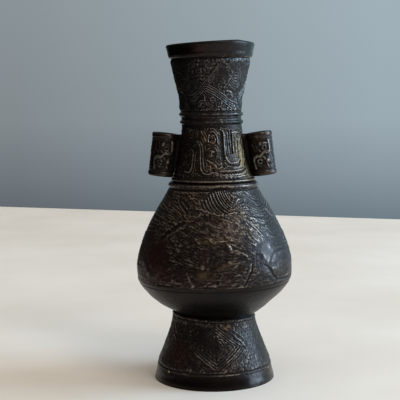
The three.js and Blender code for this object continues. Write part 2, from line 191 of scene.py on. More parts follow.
# Smooths the relief away inside a closed curve, down to a share of its height.
def clearForm(strip, points, keep, edge=1.5):
    bare = {**strip, "raised": np.zeros(strip["raised"].shape)}
    drawForm(bare, points, 1.0, edge)
    for layer in ("raised", "cut"):
        strip[layer] *= 1 - (1 - keep) * bare["raised"]


# A line smoothed through a few points, each moved a little by the carver's hand.
def drawCurve(strip, points, width, height, layer="raised", wobble=0.15):
    path = smoothCurve(points, carver["spacing"])
    drawLine(strip, path + hand.uniform(-wobble, wobble, path.shape), width, height, layer)


# Several of them, all of one width and height.
def drawCurves(strip, lines, width, height, layer="raised", wobble=0.15):
    for points in lines:
        drawCurve(strip, points, width, height, layer, wobble)


# One of several lines side by side, a little wider or narrower and higher or lower than the others.
def drawSister(strip, path, width, height):
    drawLine(strip, path, width * hand.uniform(*carver["widths"]), height * hand.uniform(*carver["heights"]))


# The points at some shares of the way along a smooth curve.
def pointsAlong(points, shares):
    curve = smoothCurve(points, carver["guideSpacing"])
    return np.column_stack([np.interp(shares, np.linspace(0, 1, len(curve)), curve[:, c]) for c in (0, 1)])


# Lines side by side: line k starts at its share of the start curve and ends at its share of the end curve,
# and bows out square to itself by a share of its length.
def drawRibs(strip, starts, ends, count, width, height, bow=0.0, wobble=0.0):
    share, t = np.linspace(0, 1, count), np.linspace(0, 1, 9)[None, :, None]
    first, last = pointsAlong(starts, share)[:, None], pointsAlong(ends, share)[:, None]
    side = np.stack([-(last - first)[..., 1], (last - first)[..., 0]], axis=-1)
    lines = first + (last - first) * t + side * bow * 4 * t * (1 - t)
    stray = hand.uniform(-wobble, wobble, (count, 1, 2))
    lines += stray + hand.uniform(-wobble, wobble, lines.shape) * carver["unsteady"]
    for line in lines:
        drawSister(strip, line, width, height)


# Lines that turn from one guide curve into another: line k is its share of the way between them, and strays
# from it in slow waves.
def drawBetween(strip, low, high, count, width, height, wobble=0.0):
    t = np.linspace(0, 1, 24)
    low, high = pointsAlong(low, t), pointsAlong(high, t)
    for share in np.linspace(0, 1, count):
        stray = np.interp(t, np.linspace(0, 1, 7), hand.uniform(-wobble, wobble, 7) * carver["unsteady"])
        drawSister(strip, low + (high - low) * share + stray[:, None] * [0, 1], width, height)


# Points round an [azimuth, height] point, from their distances in millimetres and their angles.
def pointsRound(strip, centre, radius, angle):
    local = np.interp(centre[1], strip["z"], strip["radius"])
    return np.column_stack(
        [centre[0] + np.degrees(radius / local) * np.cos(angle), centre[1] + radius * np.sin(angle)]
    )


# A circle or part of one, from one angle to another.
def circlePath(strip, centre, radius, start=0.0, stop=360.0):
    return pointsRound(strip, centre, radius, np.radians(np.linspace(start, stop, 17)))


# A line along that circle, from one angle to the other.
def drawRing(strip, centre, radius, width, height, start=0.0, stop=360.0):
    drawLine(strip, circlePath(strip, centre, radius, start, stop), width, height)


# A patch inside that circle.
def drawDisc(strip, centre, radius, height, edge, layer="raised"):
    drawPatch(strip, circlePath(strip, centre, radius), height, edge, layer)


# A scroll: its radius shrinks evenly from the outer one to the inner one as it turns.
def drawScroll(strip, centre, outerRadius, innerRadius, start, turn, width, height):
    angle = np.radians(np.linspace(start, start + turn, 15))
    radius = np.linspace(outerRadius, innerRadius, 15)
    drawLine(strip, pointsRound(strip, centre, radius, angle), width, height)


# A ground of small scrolls: one to each cell of a net of rows, moved and turned by chance.
def drawGround(strip, low, high, pitch, width, height):
    span = strip["step"] * strip["raised"].shape[1]
    for z in np.arange(low + pitch / 2, high, pitch):
        local = np.interp(z, strip["z"], strip["radius"])
        count = int(round(np.radians(span) * local / pitch))
        for azimuth in (np.arange(count) + hand.uniform(0, 1)) * span / count:
            shift = hand.uniform(-0.3, 0.3, 2) * pitch
            centre = (azimuth + np.degrees(shift[0] / local), z + shift[1])
            size = pitch * hand.uniform(0.38, 0.5)
            start, turn = hand.uniform(0, 360), hand.choice([-1, 1]) * hand.uniform(300, 480)
            drawScroll(strip, centre, size, size * 0.25, start, turn, width, height * hand.uniform(0.7, 1.1))


# A ground of short strokes between two azimuths: one to each cell of a net of rows, turned by chance about a
# slant and bent a little.
def drawStrokes(strip, sides, low, high, pitch, length, width, height, slant=0.0, spread=50.0):
    for z in np.arange(low + pitch / 2, high, pitch):
        local = np.interp(z, strip["z"], strip["radius"])
        step = np.degrees(pitch / local)
        for azimuth in np.arange(sides[0] + hand.uniform(0, step), sides[1], step):
            turn = np.radians(slant + hand.uniform(-spread, spread))
            half = length * hand.uniform(0.3, 0.6)
            bend = hand.uniform(-0.35, 0.35) * half
            x = np.array([-half * np.cos(turn), -bend * np.sin(turn), half * np.cos(turn)])
            y = np.array([-half * np.sin(turn), bend * np.cos(turn), half * np.sin(turn)])
            middle = azimuth + np.degrees(hand.uniform(-0.3, 0.3) * pitch / local)
            path = np.column_stack([middle + np.degrees(x / local), z + hand.uniform(-0.3, 0.3) * pitch + y])
            drawLine(strip, path, width * hand.uniform(0.8, 1.2), height * hand.uniform(0.5, 1.2))


# A level band all the way round: a bead of rounded section, or a groove if its layer is cut. Its middle can
# wave by the sum of two sines, so it closes on itself.
def drawBand(strip, z, width, height, layer="moulding", wave=0.0):
    columns = strip["raised"].shape[1]
    turn = 2 * np.pi * np.arange(columns) / columns
    middle = z + wave * (np.sin(3 * turn + z) + 0.6 * np.sin(7 * turn + 2 * z))
    distance = np.abs(strip["z"][:, None] - middle[None])
    strip[layer] = np.maximum(strip[layer], rounded(distance, width, height))


# Soft noise: values by chance on a coarse net that closes on itself, eased from each to the next.
def softNoise(rows, columns, rowStep, columnStep):
    netRows, netColumns = int(np.ceil(rows / rowStep)) + 2, max(int(round(columns / columnStep)), 3)
    net = hand.uniform(-1, 1, (netRows, netColumns))
    v = np.arange(rows) / rowStep
    u = np.arange(columns) * netColumns / columns
    v0, u0 = v.astype(int), u.astype(int)
    tv, tu = eased(v - v0, 0, 1)[:, None], eased(u - u0, 0, 1)[None]
    corner = lambda dv, du: net[np.ix_(v0 + dv, (u0 + du) % netColumns)]
    low = corner(0, 0) * (1 - tu) + corner(0, 1) * tu
    high = corner(1, 0) * (1 - tu) + corner(1, 1) * tu
    return low * (1 - tv) + high * tv


# Each value becomes the mean of those within a reach, along one axis and then along the other.
def softened(values, reach):
    width = 2 * reach + 1
    padded = np.pad(values, ((reach, reach), (0, 0)), mode="edge")
    total = np.cumsum(np.vstack([np.zeros((1, values.shape[1])), padded]), axis=0)
    rows = (total[width:] - total[:-width]) / width
    padded = np.pad(rows, ((0, 0), (reach, reach)), mode="wrap")
    total = np.cumsum(np.hstack([np.zeros((values.shape[0], 1)), padded]), axis=1)
    return (total[:, width:] - total[:, :-width]) / width


# Surfaces

# How far the hand-made vase is out of true. A shift is in mm to the right, a rise is in mm for each mm to the
# right, and pairs of heights say where a shift grows from nothing to all of itself.
handMade = {
    "lip": {"height": 43, "reach": 6, "rise": -0.052},
    "ledge": {"height": 68, "reach": 8, "rise": 0.01, "sag": 0.7},
    "belly": {"shift": 0.65, "below": (50, 64), "above": (148, 118)},
    "neck": {"shift": -0.72, "below": (155, 186)},
    "mouth": {"height": 206, "reach": 14, "rise": 0.05, "end": 17, "drop": 0.16},
}


# Moves points sideways and up. The foot's lip and the ledge fade out as e^-((z - height) / reach)^2. The
# mouth's rise grows with the square of the height, and drops again to the right of its end.
def outOfTrue(points):
    x, z = points[:, 0], points[:, 2]
    lip, ledge, belly, neck, mouth = handMade.values()
    near = lambda part: np.exp(-(((z - part["height"]) / part["reach"]) ** 2))
    shift = belly["shift"] * eased(z, *belly["below"]) * eased(z, *belly["above"])
    shift += neck["shift"] * eased(z, *neck["below"])
    lift = lip["rise"] * near(lip) * x + (ledge["rise"] * x - ledge["sag"]) * near(ledge)
    rise = mouth["rise"] * x - mouth["drop"] * np.clip(x - mouth["end"], 0, None)
    lift += rise * np.clip((z - mouth["height"]) / mouth["reach"], 0, 1) ** 2
    return points + np.column_stack([shift, 0 * x, lift])


# A closed surface turned round the vase's axis. The grid's rows go up the outside and back down the inside,
# its columns go round, and each outer row stands off along its own normal by the relief's height.
def turnedGrid(outer, inner, relief):
    columns = relief.shape[1]
    azimuth = np.radians(np.arange(columns) * 360 / columns)
    square = outwards(outer)
    radius, height = [
        np.vstack([outer[:, [c]] + square[:, [c]] * relief, np.repeat(inner[:, [c]], columns, axis=1)])
        for c in (0, 1)
    ]
    return np.stack([radius * np.sin(azimuth), -radius * np.cos(azimuth), height], axis=-1)


# An object for a mesh, a lamp or a camera, linked to the scene.
def newObject(name, data):
    made = bpy.data.objects.new(name, data)
    bpy.context.scene.collection.objects.link(made)
    return made


# A piece of the vase, with its place in its mesh and a value at each point for every attribute.
def newPiece(name, points, faces, attributes):
    mesh = bpy.data.meshes.new(name)
    mesh.from_pydata(points * millimetre, [], faces)
    mesh.shade_smooth()
    for label, values in attributes.items():
        layer = mesh.attributes.new(label, "FLOAT", "POINT")
        layer.data.foreach_set("value", np.ascontiguousarray(values, np.float32).ravel())
    piece = newObject(name, mesh)
    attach(piece, "root")
    return piece


# A piece over a grid of points that closes both ways.
def gridPiece(name, grid, attributes, shape=outOfTrue):
    rows, columns = grid.shape[:2]
    index = np.arange(rows * columns).reshape(rows, columns)
    above, beside = np.roll(index, -1, axis=0), np.roll(index, -1, axis=1)
    faces = np.stack([index, beside, np.roll(above, -1, axis=1), above], axis=-1).reshape(-1, 4)
    piece = newPiece(name, shape(grid.reshape(-1, 3)), faces, attributes)
    piece.data.set_sharp_from_angle(angle=np.radians(62))
    return piece


# Gives a piece its material, and puts it in the place of a node of the solid model.
def dressPiece(piece, material, node):
    piece.data.materials.append(material)
    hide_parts(node)
    print(piece.name, "made:", 2 * len(piece.data.polygons), "triangles")


# Soft spots, each with an azimuth, a height, its reach in both and a strength: the strongest one counts.
def spotLayer(outer, columns, spots):
    azimuth = np.arange(columns) * 360 / columns
    layer = np.zeros((len(outer), columns))
    for spotAzimuth, spotZ, reachAzimuth, reachZ, strength in spots:
        apart = (azimuth - spotAzimuth + 180) % 360 - 180
        spot = np.exp(-((apart[None] / reachAzimuth) ** 2) - (((outer[:, 1:] - spotZ) / reachZ) ** 2))
        layer = np.maximum(layer, strength * spot)
    return layer


wearing = {
    "level": 0.42,
    "hidden": 0.35,
    "above": ((3, 0.55), (9, 1.6)),  # cells around a point, and the mm above them that are fully worn
    "patches": ((11, 0.5), (4, 0.35)),  # cells across, and strength
    "mottle": (6, 0.07),
}


# The patina's values. Wear is a half on a level surface, more on what stands up above its surroundings and
# less in the hollows, all of it patchy, and more again at listed spots, partly where hands have rubbed and
# partly as painted highlights. The others are spots of yellower metal, some of them painted highlights, spots
# where the patina is redder or glossier, and dark spots of painted shade.
def patinaOf(outer, inner, relief, spots, contrast):
    noise = lambda size, strength: strength * softNoise(*relief.shape, size, size)
    spotsOf = lambda label: spotLayer(outer, relief.shape[1], spots.get(label, ()))
    patchy = contrast * sum((noise(*patch) for patch in wearing["patches"]), 1)
    above = [(relief - softened(relief, reach)) / height for reach, height in wearing["above"]]
    wear = wearing["level"] + patchy * sum(above) + noise(*wearing["mottle"]) + spotsOf("wearAndHighlight")
    hidden = np.zeros((len(inner), relief.shape[1]))
    patina = {"wear": np.vstack([np.clip(wear, 0, 1), hidden + wearing["hidden"]])}
    for label in ("brassAndHighlight", "red", "dark", "gloss"):
        patina[label] = np.vstack([spotsOf(label), hidden])
    return patina


# From 0 on a grid's first and last row to 1 some rows further in.
def fadedEnds(rows, reach):
    row = np.arange(rows)
    return np.clip(np.minimum(row, row[::-1]) / reach, 0, 1)[:, None]


mould = {
    "sharpness": 0.82,  # the share of the relief that the mould gives
    "blur": ((2.6, 0.34), (9, 0.22)),  # mm across, and how much of the relief comes and goes
    "skin": ((0.9, 0.8), (1.8, 1.2), (12, 1.8)),  # mm across, and height as a share of the unevenness
    "gloss": 0.9,  # the share of the skin that is gone where it is glossy
}


# One casting: the strip's relief goes round as often as it repeats, lower at the worn spots, over a slightly
# uneven skin that is smoother where it is glossy.
def casting(name, node, strip, outer, inner, material, spots, uneven, contrast=1.0):
    around = (1, strip["repeats"])
    relief = np.tile(strip["raised"] - strip["cut"], around)
    rows, columns = relief.shape
    cell, across = strip["along"][-1] / (rows - 1), 2 * np.pi * outer[:, 0].mean() / columns
    noise = lambda size, strength: strength * softNoise(rows, columns, size / cell, size / across)
    spotsOf = lambda label: spotLayer(outer, columns, spots.get(label, ()))
    relief *= sum((noise(*part) for part in mould["blur"]), mould["sharpness"]) * (1 - spotsOf("worn"))
    skin = uneven * sum(noise(*part) for part in mould["skin"])
    relief += skin * (1 - mould["gloss"] * np.clip(spotsOf("gloss"), 0, 1))
    ends = fadedEnds(rows, 3)
    grid = turnedGrid(outer, inner, (relief + np.tile(strip["moulding"], around)) * ends)
    piece = gridPiece(name, grid, patinaOf(outer, inner, relief * ends, spots, contrast))
    dressPiece(piece, material, node)


# A hollow casting from its dictionary. Its inside is the outside moved in by the wall, between the points
# that make the lap at its top and the lap at its foot.
def makeCasting(name, node, part, carve, material):
    outer = smoothCurve(part["outer"], part["rowStep"])
    strip = newStrip(outer, part["columns"], part["repeats"])
    carve(strip)
    inside = insideOf(smoothCurve(part["outer"], part["innerStep"]), wall, *part["hollow"])
    inner = np.vstack([part["top"], inside[::-1], part["bottom"]])
    casting(name, node, strip, outer, inner, material, part["spots"], part["uneven"], part["contrast"])


# Materials

# The sRGB curve: a share under 0.04045 is divided by 12.92, any other is ((c + 0.055) / 1.055) ^ 2.4.
def toLinear(hexColour):
    share = np.array([int(hexColour[k : k + 2], 16) / 255 for k in (1, 3, 5)])
    linear = np.where(share <= 0.04045, share / 12.92, ((share + 0.055) / 1.055) ** 2.4)
    return (*linear.tolist(), 1.0)


# Adds a node. An input is a value or the socket that feeds it, and stops are a ramp's [place, colour] pairs.
def addNode(tree, kind, inputs=None, stops=None, **settings):
    node = tree.nodes.new(kind)
    for name, value in settings.items():
        setattr(node, name, value)
    for name, value in (inputs or {}).items():
        if isinstance(value, bpy.types.NodeSocket):
            tree.links.new(value, node.inputs[name])
        else:
            node.inputs[name].default_value = value
    if stops:
        ramp = node.color_ramp
        while len(ramp.elements) < len(stops):
            ramp.elements.new(1.0)
        for element, (place, shade) in zip(ramp.elements, stops):
            element.position = place
            element.color = toLinear(shade)
    return node


# An empty material and its node tree.
def newMaterial(name):
    material = bpy.data.materials.new(name)
    material.use_nodes = True
    material.node_tree.nodes.clear()
    return material, material.node_tree


# Cast bronze with a waxed brown patina: near black in the hollows of the relief, dark brown on the level, and
# rubbed to a warmer, smoother brown on the crests. The wax gives it a clean, uncoloured gloss.
castBronze = {
    "hollow": "#090807",
    # the colour of painted shade, mixed in at the dark spots on shaded sides, under the bowl and in recesses
    "paintedShade": "#050504",
    "level": "#1f1915",
    "crest": "#433b35",
    "bright": "#80756a",
    "reddish": "#3a1b17",
    # yellower metal at some spots; the spot on the rim's right is a painted highlight
    "brassAndHighlight": "#7c6440",
    "stains": (16.0, 5.0, 0.6),  # mm across a patch of reddish patina, its detail and its roughness
    "flecks": (10 / 9, 3.0, 0.7),  # the same for specks of wear
    "grain": (0.7, 3.0, 0.55),  # the same for the cast skin, drawn coarse enough to show
    "grainDepth": 0.05,
    "fleckWear": 0.28,
    "redAnywhere": 0.12,
    # how far a dark spot of painted shade darkens at its full strength
    "darkest": 0.8,
    "shine": (0.34, 0.56),  # roughness of the crests and of the hollows
    "glossShine": 0.26,  # how far a glossy spot takes the roughness down
}


# The relief's wear, specked with noise, picks the colour from a ramp. Reddish spots, brass-coloured spots
# (some of them painted highlights) and dark spots of painted shade are mixed over it in turn, and wear and
# gloss together set the roughness.
def castBronzeMaterial(name, look):
    material, tree = newMaterial(name)
    place = addNode(tree, "ShaderNodeTexCoord").outputs["Object"]
    wear, brassAndHighlight, red, dark, gloss = [
        addNode(tree, "ShaderNodeAttribute", attribute_name=label).outputs["Fac"]
        for label in ("wear", "brassAndHighlight", "red", "dark", "gloss")
    ]
    stain, fleck, grain = [
        addNode(
            tree,
            "ShaderNodeTexNoise",
            {"Vector": place, "Scale": 1000 / size, "Detail": detail, "Roughness": roughness},
        ).outputs["Fac"]
        for size, detail, roughness in (look["stains"], look["flecks"], look["grain"])
    ]
    reach = look["fleckWear"]
    specks = addNode(
        tree, "ShaderNodeMath", {0: fleck, 1: reach, 2: -reach / 2}, operation="MULTIPLY_ADD"
    ).outputs[0]
    wearAndHighlight = addNode(tree, "ShaderNodeMath", {0: wear, 1: specks}, operation="ADD", use_clamp=True).outputs[0]
    colour = addNode(
        tree,
        "ShaderNodeValToRGB",
        {"Fac": wearAndHighlight},
        stops=[(0.05, look["hollow"]), (0.45, look["level"]), (0.75, look["crest"]), (1.0, look["bright"])],
    ).outputs["Color"]
    patchy = addNode(
        tree,
        "ShaderNodeMapRange",
        {"Value": stain, "From Min": 0.35, "From Max": 0.7, "To Min": 0.15, "To Max": 1.0},
    ).outputs[0]
    red = addNode(
        tree, "ShaderNodeMath", {0: red, 1: look["redAnywhere"]}, operation="ADD", use_clamp=True
    ).outputs[0]
    spots = ((red, patchy, "reddish"), (brassAndHighlight, wearAndHighlight, "brassAndHighlight"), (dark, look["darkest"], "paintedShade"))
    for spot, factor, shade in spots:
        share = addNode(tree, "ShaderNodeMath", {0: spot, 1: factor}, operation="MULTIPLY").outputs[0]
        colour = addNode(
            tree, "ShaderNodeMix", {0: share, 6: colour, 7: toLinear(look[shade])}, data_type="RGBA"
        ).outputs[2]
    crests, hollows = look["shine"]
    roughness = addNode(
        tree,
        "ShaderNodeMapRange",
        {"Value": wearAndHighlight, "From Min": 0.1, "From Max": 0.9, "To Min": hollows, "To Max": crests},
    ).outputs[0]
    roughness = addNode(
        tree, "ShaderNodeMath", {0: gloss, 1: -look["glossShine"], 2: roughness}, operation="MULTIPLY_ADD"
    ).outputs[0]
    # the skin is smooth where it is glossy
    coarse = addNode(
        tree, "ShaderNodeMath", {0: gloss, 1: -0.85, 2: 1.0}, operation="MULTIPLY_ADD", use_clamp=True
    ).outputs[0]
    grain = addNode(tree, "ShaderNodeMath", {0: grain, 1: coarse}, operation="MULTIPLY").outputs[0]
    bumps = {"Height": grain, "Distance": look["grainDepth"] * millimetre, "Strength": 0.8}
    bump = addNode(tree, "ShaderNodeBump", bumps).outputs["Normal"]
    shader = addNode(
        tree,
        "ShaderNodeBsdfPrincipled",
        {
            "Base Color": colour,
            "Metallic": 0.72,
            "Roughness": roughness,
            "Normal": bump,
            "Specular IOR Level": 0.35,
            "Coat Weight": 0.08,
            "Coat Roughness": 0.3,
        },
    )
    addNode(tree, "ShaderNodeOutputMaterial", {"Surface": shader.outputs[0]})
    return material


carvedBronze = castBronzeMaterial("waxedCastBronze", castBronze)

# The same bronze on the neck, with a greyer brown.
neckBronze = castBronzeMaterial(
    "waxedGreyCastBronze", {**castBronze, "level": "#1c1a19", "crest": "#3c3a38", "bright": "#7a7671"}
)

# The same bronze where the casting is plain: turned smooth and waxed, so the gloss is closer.
smoothBronze = castBronzeMaterial(
    "waxedSmoothBronze",
    {**castBronze, "level": "#15110f", "crest": "#1f1916", "bright": "#30271f", "shine": (0.3, 0.45)},
)

# Bare bronze pin and rivet ends, hammered over and rubbed: small dents, a yellower metal and brown in the
# dents.
pinBronze = {"metal": "#d3c2a4", "tarnish": "#6b5843", "dent": 0.5, "dentDepth": 0.06}


# Noise the size of the dents sets both the colour and the bump.
def pinBronzeMaterial(name, look):
    material, tree = newMaterial(name)
    place = addNode(tree, "ShaderNodeTexCoord").outputs["Object"]
    dent = addNode(
        tree, "ShaderNodeTexNoise", {"Vector": place, "Scale": 1000 / look["dent"], "Detail": 2.0}
    ).outputs["Fac"]
    colour = addNode(
        tree, "ShaderNodeValToRGB", {"Fac": dent}, stops=[(0.35, look["tarnish"]), (0.55, look["metal"])]
    ).outputs["Color"]
    dents = {"Height": dent, "Distance": look["dentDepth"] * millimetre, "Strength": 0.7}
    bump = addNode(tree, "ShaderNodeBump", dents).outputs["Normal"]
    shader = addNode(
        tree,
        "ShaderNodeBsdfPrincipled",
        {"Base Color": colour, "Metallic": 0.9, "Roughness": 0.35, "Normal": bump},
    )
    addNode(tree, "ShaderNodeOutputMaterial", {"Surface": shader.outputs[0]})
    return material


rubbedBronze = pinBronzeMaterial("hammeredBronze", pinBronze)
print("materials made")

hand = np.random.default_rng(7)  # the carver's unevenness, the same each run


# Foot

foot = {
    "columns": 520,
    "rowStep": 0.36,
    "repeats": 4,
    "outer": [
        [39.6, 0], [39.2, 2.4], [38.6, 4.7], [38.0, 7.2], [37.3, 9.7], [36.5, 13], [35.3, 16], [33.7, 20],
        [31.75, 25], [29.85, 30], [28.2, 35], [27.2, 39], [26.9, 42.2], [26.4, 43.3], [26.0, 44],
    ],
    "innerStep": 2.0,
    "hollow": (12.6, 37.9),
    "top": [[25.35, 44], [25.35, 38.2], [23.6, 38.2]],
    "bottom": [[32.7, 12.4], [32.7, 10.4], [34.7, 10.4], [34.7, 7], [35.4, 0]],
    "uneven": 0.07,
    "contrast": 1.0,
    "frameCentre": (1.5, 25.9),
    "frameSpan": 31.5,  # degrees from its centre to a side corner
    "frameHeight": 13.4,  # mm from its centre to the top or bottom corner
    "line": 1.0,
    "lineHeight": 0.5,
    "groundHeight": 0.42,
    "spots": {
        "brassAndHighlight": [(16.5, 38, 4, 1.3, 1.3)],
        "red": [(-50, 22, 16, 8, 0.5), (18, 38.5, 8, 2, 0.7)],
        # dark spots: painted shade along the bottom band, most on the left, and in the middle and upper left
        # of the frame
        "dark": [(-75, 4, 25, 6, 1.0), (-20, 4, 40, 5, 0.5), (1, 26, 8, 4.5, 1.0), (-18, 32, 14, 6, 0.7)],
        "gloss": [(0, 4, 400, 4.5, 1.0), (64, 25, 16, 16, 0.6)],
        # a painted highlight: the bright streak on the bottom band's right
        "wearAndHighlight": [(42, 5.2, 7, 2.0, 0.15)],
        "worn": [(64, 22, 17, 20, 0.65), (-45, 22, 14, 14, 0.4)],
    },
}


# A four-cornered frame on a point, as a closed path through its corners.
def lozengePath(size):
    x, z = foot["frameCentre"]
    span, height = foot["frameSpan"] * size, foot["frameHeight"] * size
    return np.array([[x, z - height], [x + span, z], [x, z + height], [x - span, z], [x, z - height]])


# Three lozenge frames, one inside the other, round a flower: each is the same path by a smaller size. The
# ground of scrolls lies under them, and where two forms meet the higher one counts.
def carveFoot(strip):
    drawGround(strip, 11, 41.5, 2.1, 0.7, foot["groundHeight"])
    corners = lozengePath(1.05)[:-1]
    strip["raised"] *= 0.75
    nextCorners = np.roll(corners, -1, axis=0)
    outline = [(corners[k] + nextCorners[k] * part) / (1 + part) for k in range(4) for part in (0, 0.5, 2)]
    clearForm(strip, outline, 0.4)
    for size, strength in ((1.0, 0.95), (0.865, 0.8), (0.73, 0.65)):
        path = lozengePath(size)
        for side, firm in zip(range(4), (0.9, 0.85, 0.45, 1.0)):  # the upper left side is the faintest
            line = path[side] + (path[side + 1] - path[side]) * np.linspace(0, 1, 9)[:, None]
            line += hand.uniform(-0.3, 0.3, line.shape)
            drawLine(strip, line, foot["line"], foot["lineHeight"] * strength * firm)
        drawLine(strip, lozengePath(size - 0.067), 0.7, 0.25, "cut")
    x, z = foot["frameCentre"]
    for size in (5.8, 4.2):  # squared rings round the flower, each in four bowed parts
        for k in range(4):
            path = circlePath(strip, (x, z), size * hand.uniform(0.94, 1.06), 90 * k + 12, 90 * k + 78)
            drawLine(strip, path + hand.uniform(-0.25, 0.25, path.shape), 1.0, 0.34)
    for turn in np.radians(np.arange(8) * 45 + 20):  # petals
        drawRing(strip, (x + 4.4 * np.cos(turn), z + 2.3 * np.sin(turn)), 0.7, 0.8, 0.3)
    corners = lozengePath(0.6)
    for side in range(4):  # beads between the frame and the rounded lozenge
        for share in np.arange(0.125, 1, 0.25):
            drawRing(strip, corners[side] + (corners[side + 1] - corners[side]) * share, 0.5, 0.8, 0.34)
    bosses = ((20, 15.2, 2.0, 0.45), (-19, 15.4, 1.8, 0.35), (-38, 31, 1.8, 0.2), (41, 31, 1.9, 0.4))
    for x, z, size, firm in bosses:
        drawRing(strip, (x, z), size, 0.9, firm)
        drawRing(strip, (x, z), size * 0.35, 0.8, firm)
    scroll = np.array([[-3, -1.6], [-3, 1.6], [3, 1.6], [3, -1], [-1, -1], [-1, 0.4]])
    for place in ((-44, 25), (-44, 37.5), (46, 38), (24, 37.5)):  # squared scrolls
        drawLine(strip, scroll + place, 0.8, 0.35)
    for side in (-1, 1):  # hatching beside the frame
        starts, ends = [[side * 5, 12], [side * 24, 12]], [[side * 34, 24.6], [side * 43, 22]]
        drawRibs(strip, starts, ends, 5, 0.9, 0.36, wobble=0.4)
    drawCurve(strip, [[12, 38.6], [24, 33.4], [37, 27.6]], 0.95, 0.45)
    drawCurve(strip, [[17, 39.8], [28, 35.2], [38.5, 30.6]], 0.95, 0.45)
    drawCurve(strip, [[-28, 32.5], [-18, 36.5], [-7, 41]], 0.9, 0.4)
    drawBand(strip, 10.5, 1.0, 0.35, "cut", 0.05)
    drawBand(strip, 9.5, 1.1, 0.22, wave=0.06)
    drawCurve(strip, [[-4, 9.6], [8, 9.5], [24, 9.6]], 0.9, 0.24, wobble=0.1)
    drawCurve(strip, [[-34, 9.6], [-26, 9.6]], 0.8, 0.2)
    drawCurve(strip, [[-2, 11.3], [8, 11.2]], 0.8, 0.35)
    drawBand(strip, 41.3, 0.9, 0.35, "cut", 0.05)
    drawBand(strip, 42.6, 1.8, 0.42)
    drawBand(strip, 43.1, 0.8, 0.1, "raised", 0.05)


makeCasting("footCasting", "foot_casting", foot, carveFoot, carvedBronze)


# Bowl

bowl = {
    "columns": 360,
    "rowStep": 0.4,
    "repeats": 1,
    "outer": [
        [26.0, 44], [26.5, 44.4], [28.6, 45.6], [31.9, 47.6], [35.1, 49.8], [38.9, 53], [43.2, 57],
        [46.6, 61], [48.9, 64.3], [50.4, 67.5],
    ],
    "innerStep": 2.0,
    "hollow": (45.6, 66.5),
    "top": [[48.45, 67.5], [48.45, 73], [46.9, 73]],
    "bottom": [[23.6, 45.6], [23.6, 38.5], [25.05, 38.5], [25.05, 44]],
    "uneven": 0.05,
    "contrast": 1.0,
    # dark spots: painted shade all round under the bowl, deeper at the left and right
    "spots": {"dark": [(0, 50, 400, 7, 1.25), (-60, 55, 28, 9, 1.25), (36, 57, 30, 8, 1.2)]},
}


# A groove under the ledge, with two faint marks beside it.
def carveBowl(strip):
    drawBand(strip, 66.0, 1.1, 0.5, "cut", 0.12)
    drawCurve(strip, [[30, 64.6], [44, 64.4], [58, 64.6], [76, 65.0]], 1.2, 0.22, wobble=0.2)
    drawCurve(strip, [[36, 65.8], [50, 65.6], [66, 66.0]], 1.0, 0.22, "cut", wobble=0.2)


makeCasting("bowlCasting", "bowl_casting", bowl, carveBowl, smoothBronze)


# Belly

belly = {
    "columns": 560,
    "rowStep": 0.46,
    "repeats": 2,
    "outer": [
        [50.4, 67.5], [50.65, 70], [50.75, 73], [50.6, 77], [49.9, 82], [48.3, 88], [46.2, 94], [43.7, 100],
        [40.25, 107], [36.25, 114], [32.4, 120], [29.7, 124.8], [28.6, 127], [28.4, 130],
    ],
    "innerStep": 3.0,
    "hollow": (73.5, 124),
    "top": [[25.2, 130], [25.2, 124.2]],
    "bottom": [[47.0, 73.3], [48.75, 73.3], [48.75, 67.5]],
    "uneven": 0.06,
    "contrast": 1.4,
    "line": 0.85,
    "edgeHeight": 0.68,
    "spots": {
        "brassAndHighlight": [
            (-9, 76.5, 4, 2.2, 0.5), (29, 112, 6, 3, 0.2), (8, 113, 12, 2, 0.1), (-18, 111, 5, 2, 0.15),
            (35, 102, 6, 6, 0.2), (-2, 96.5, 9, 2, 0.35), (8, 81.5, 8, 1.8, 0.3),
        ],
        "red": [
            (-54, 84, 15, 12, 1.2), (-40, 75, 22, 5, 1.0), (4, 108, 8, 3, 0.4), (-1, 103, 5, 3, 0.4),
            (12, 74, 12, 4, 0.3), (-66, 116, 10, 5, 0.4), (-8.4, 86, 2.5, 6, 0.8),
        ],
        # dark spots: painted shade in deep recesses, by the crack under the feathers, in the throat and under
        # the fan
        "dark": [(-44, 89, 5, 5, 0.6), (0, 85, 4, 4, 0.5), (-10, 110, 6, 1.5, 0.5)],
        "gloss": [(43, 88, 11, 8, 0.95), (60, 104, 22, 20, 0.5)],
        # lighter spots over the upper body and its ring, partly rubbed wear and partly painted light
        "wearAndHighlight": [
            (22, 128.6, 60, 1.6, 0.3), (24, 112, 16, 8, 0.18), (4, 118, 30, 8, 0.18),
            (-45, 112, 24, 12, 0.14), (6, 102, 26, 9, 0.17), (-34, 117.2, 7, 2.2, 0.25),
            (6, 112.8, 18, 1.6, 0.15), (-16, 111.4, 6, 1.6, 0.2), (-16, 101, 8, 4, 0.14),
            (-30, 86, 18, 6, 0.1), (6, 82, 20, 9, 0.1),
        ],
    },
}


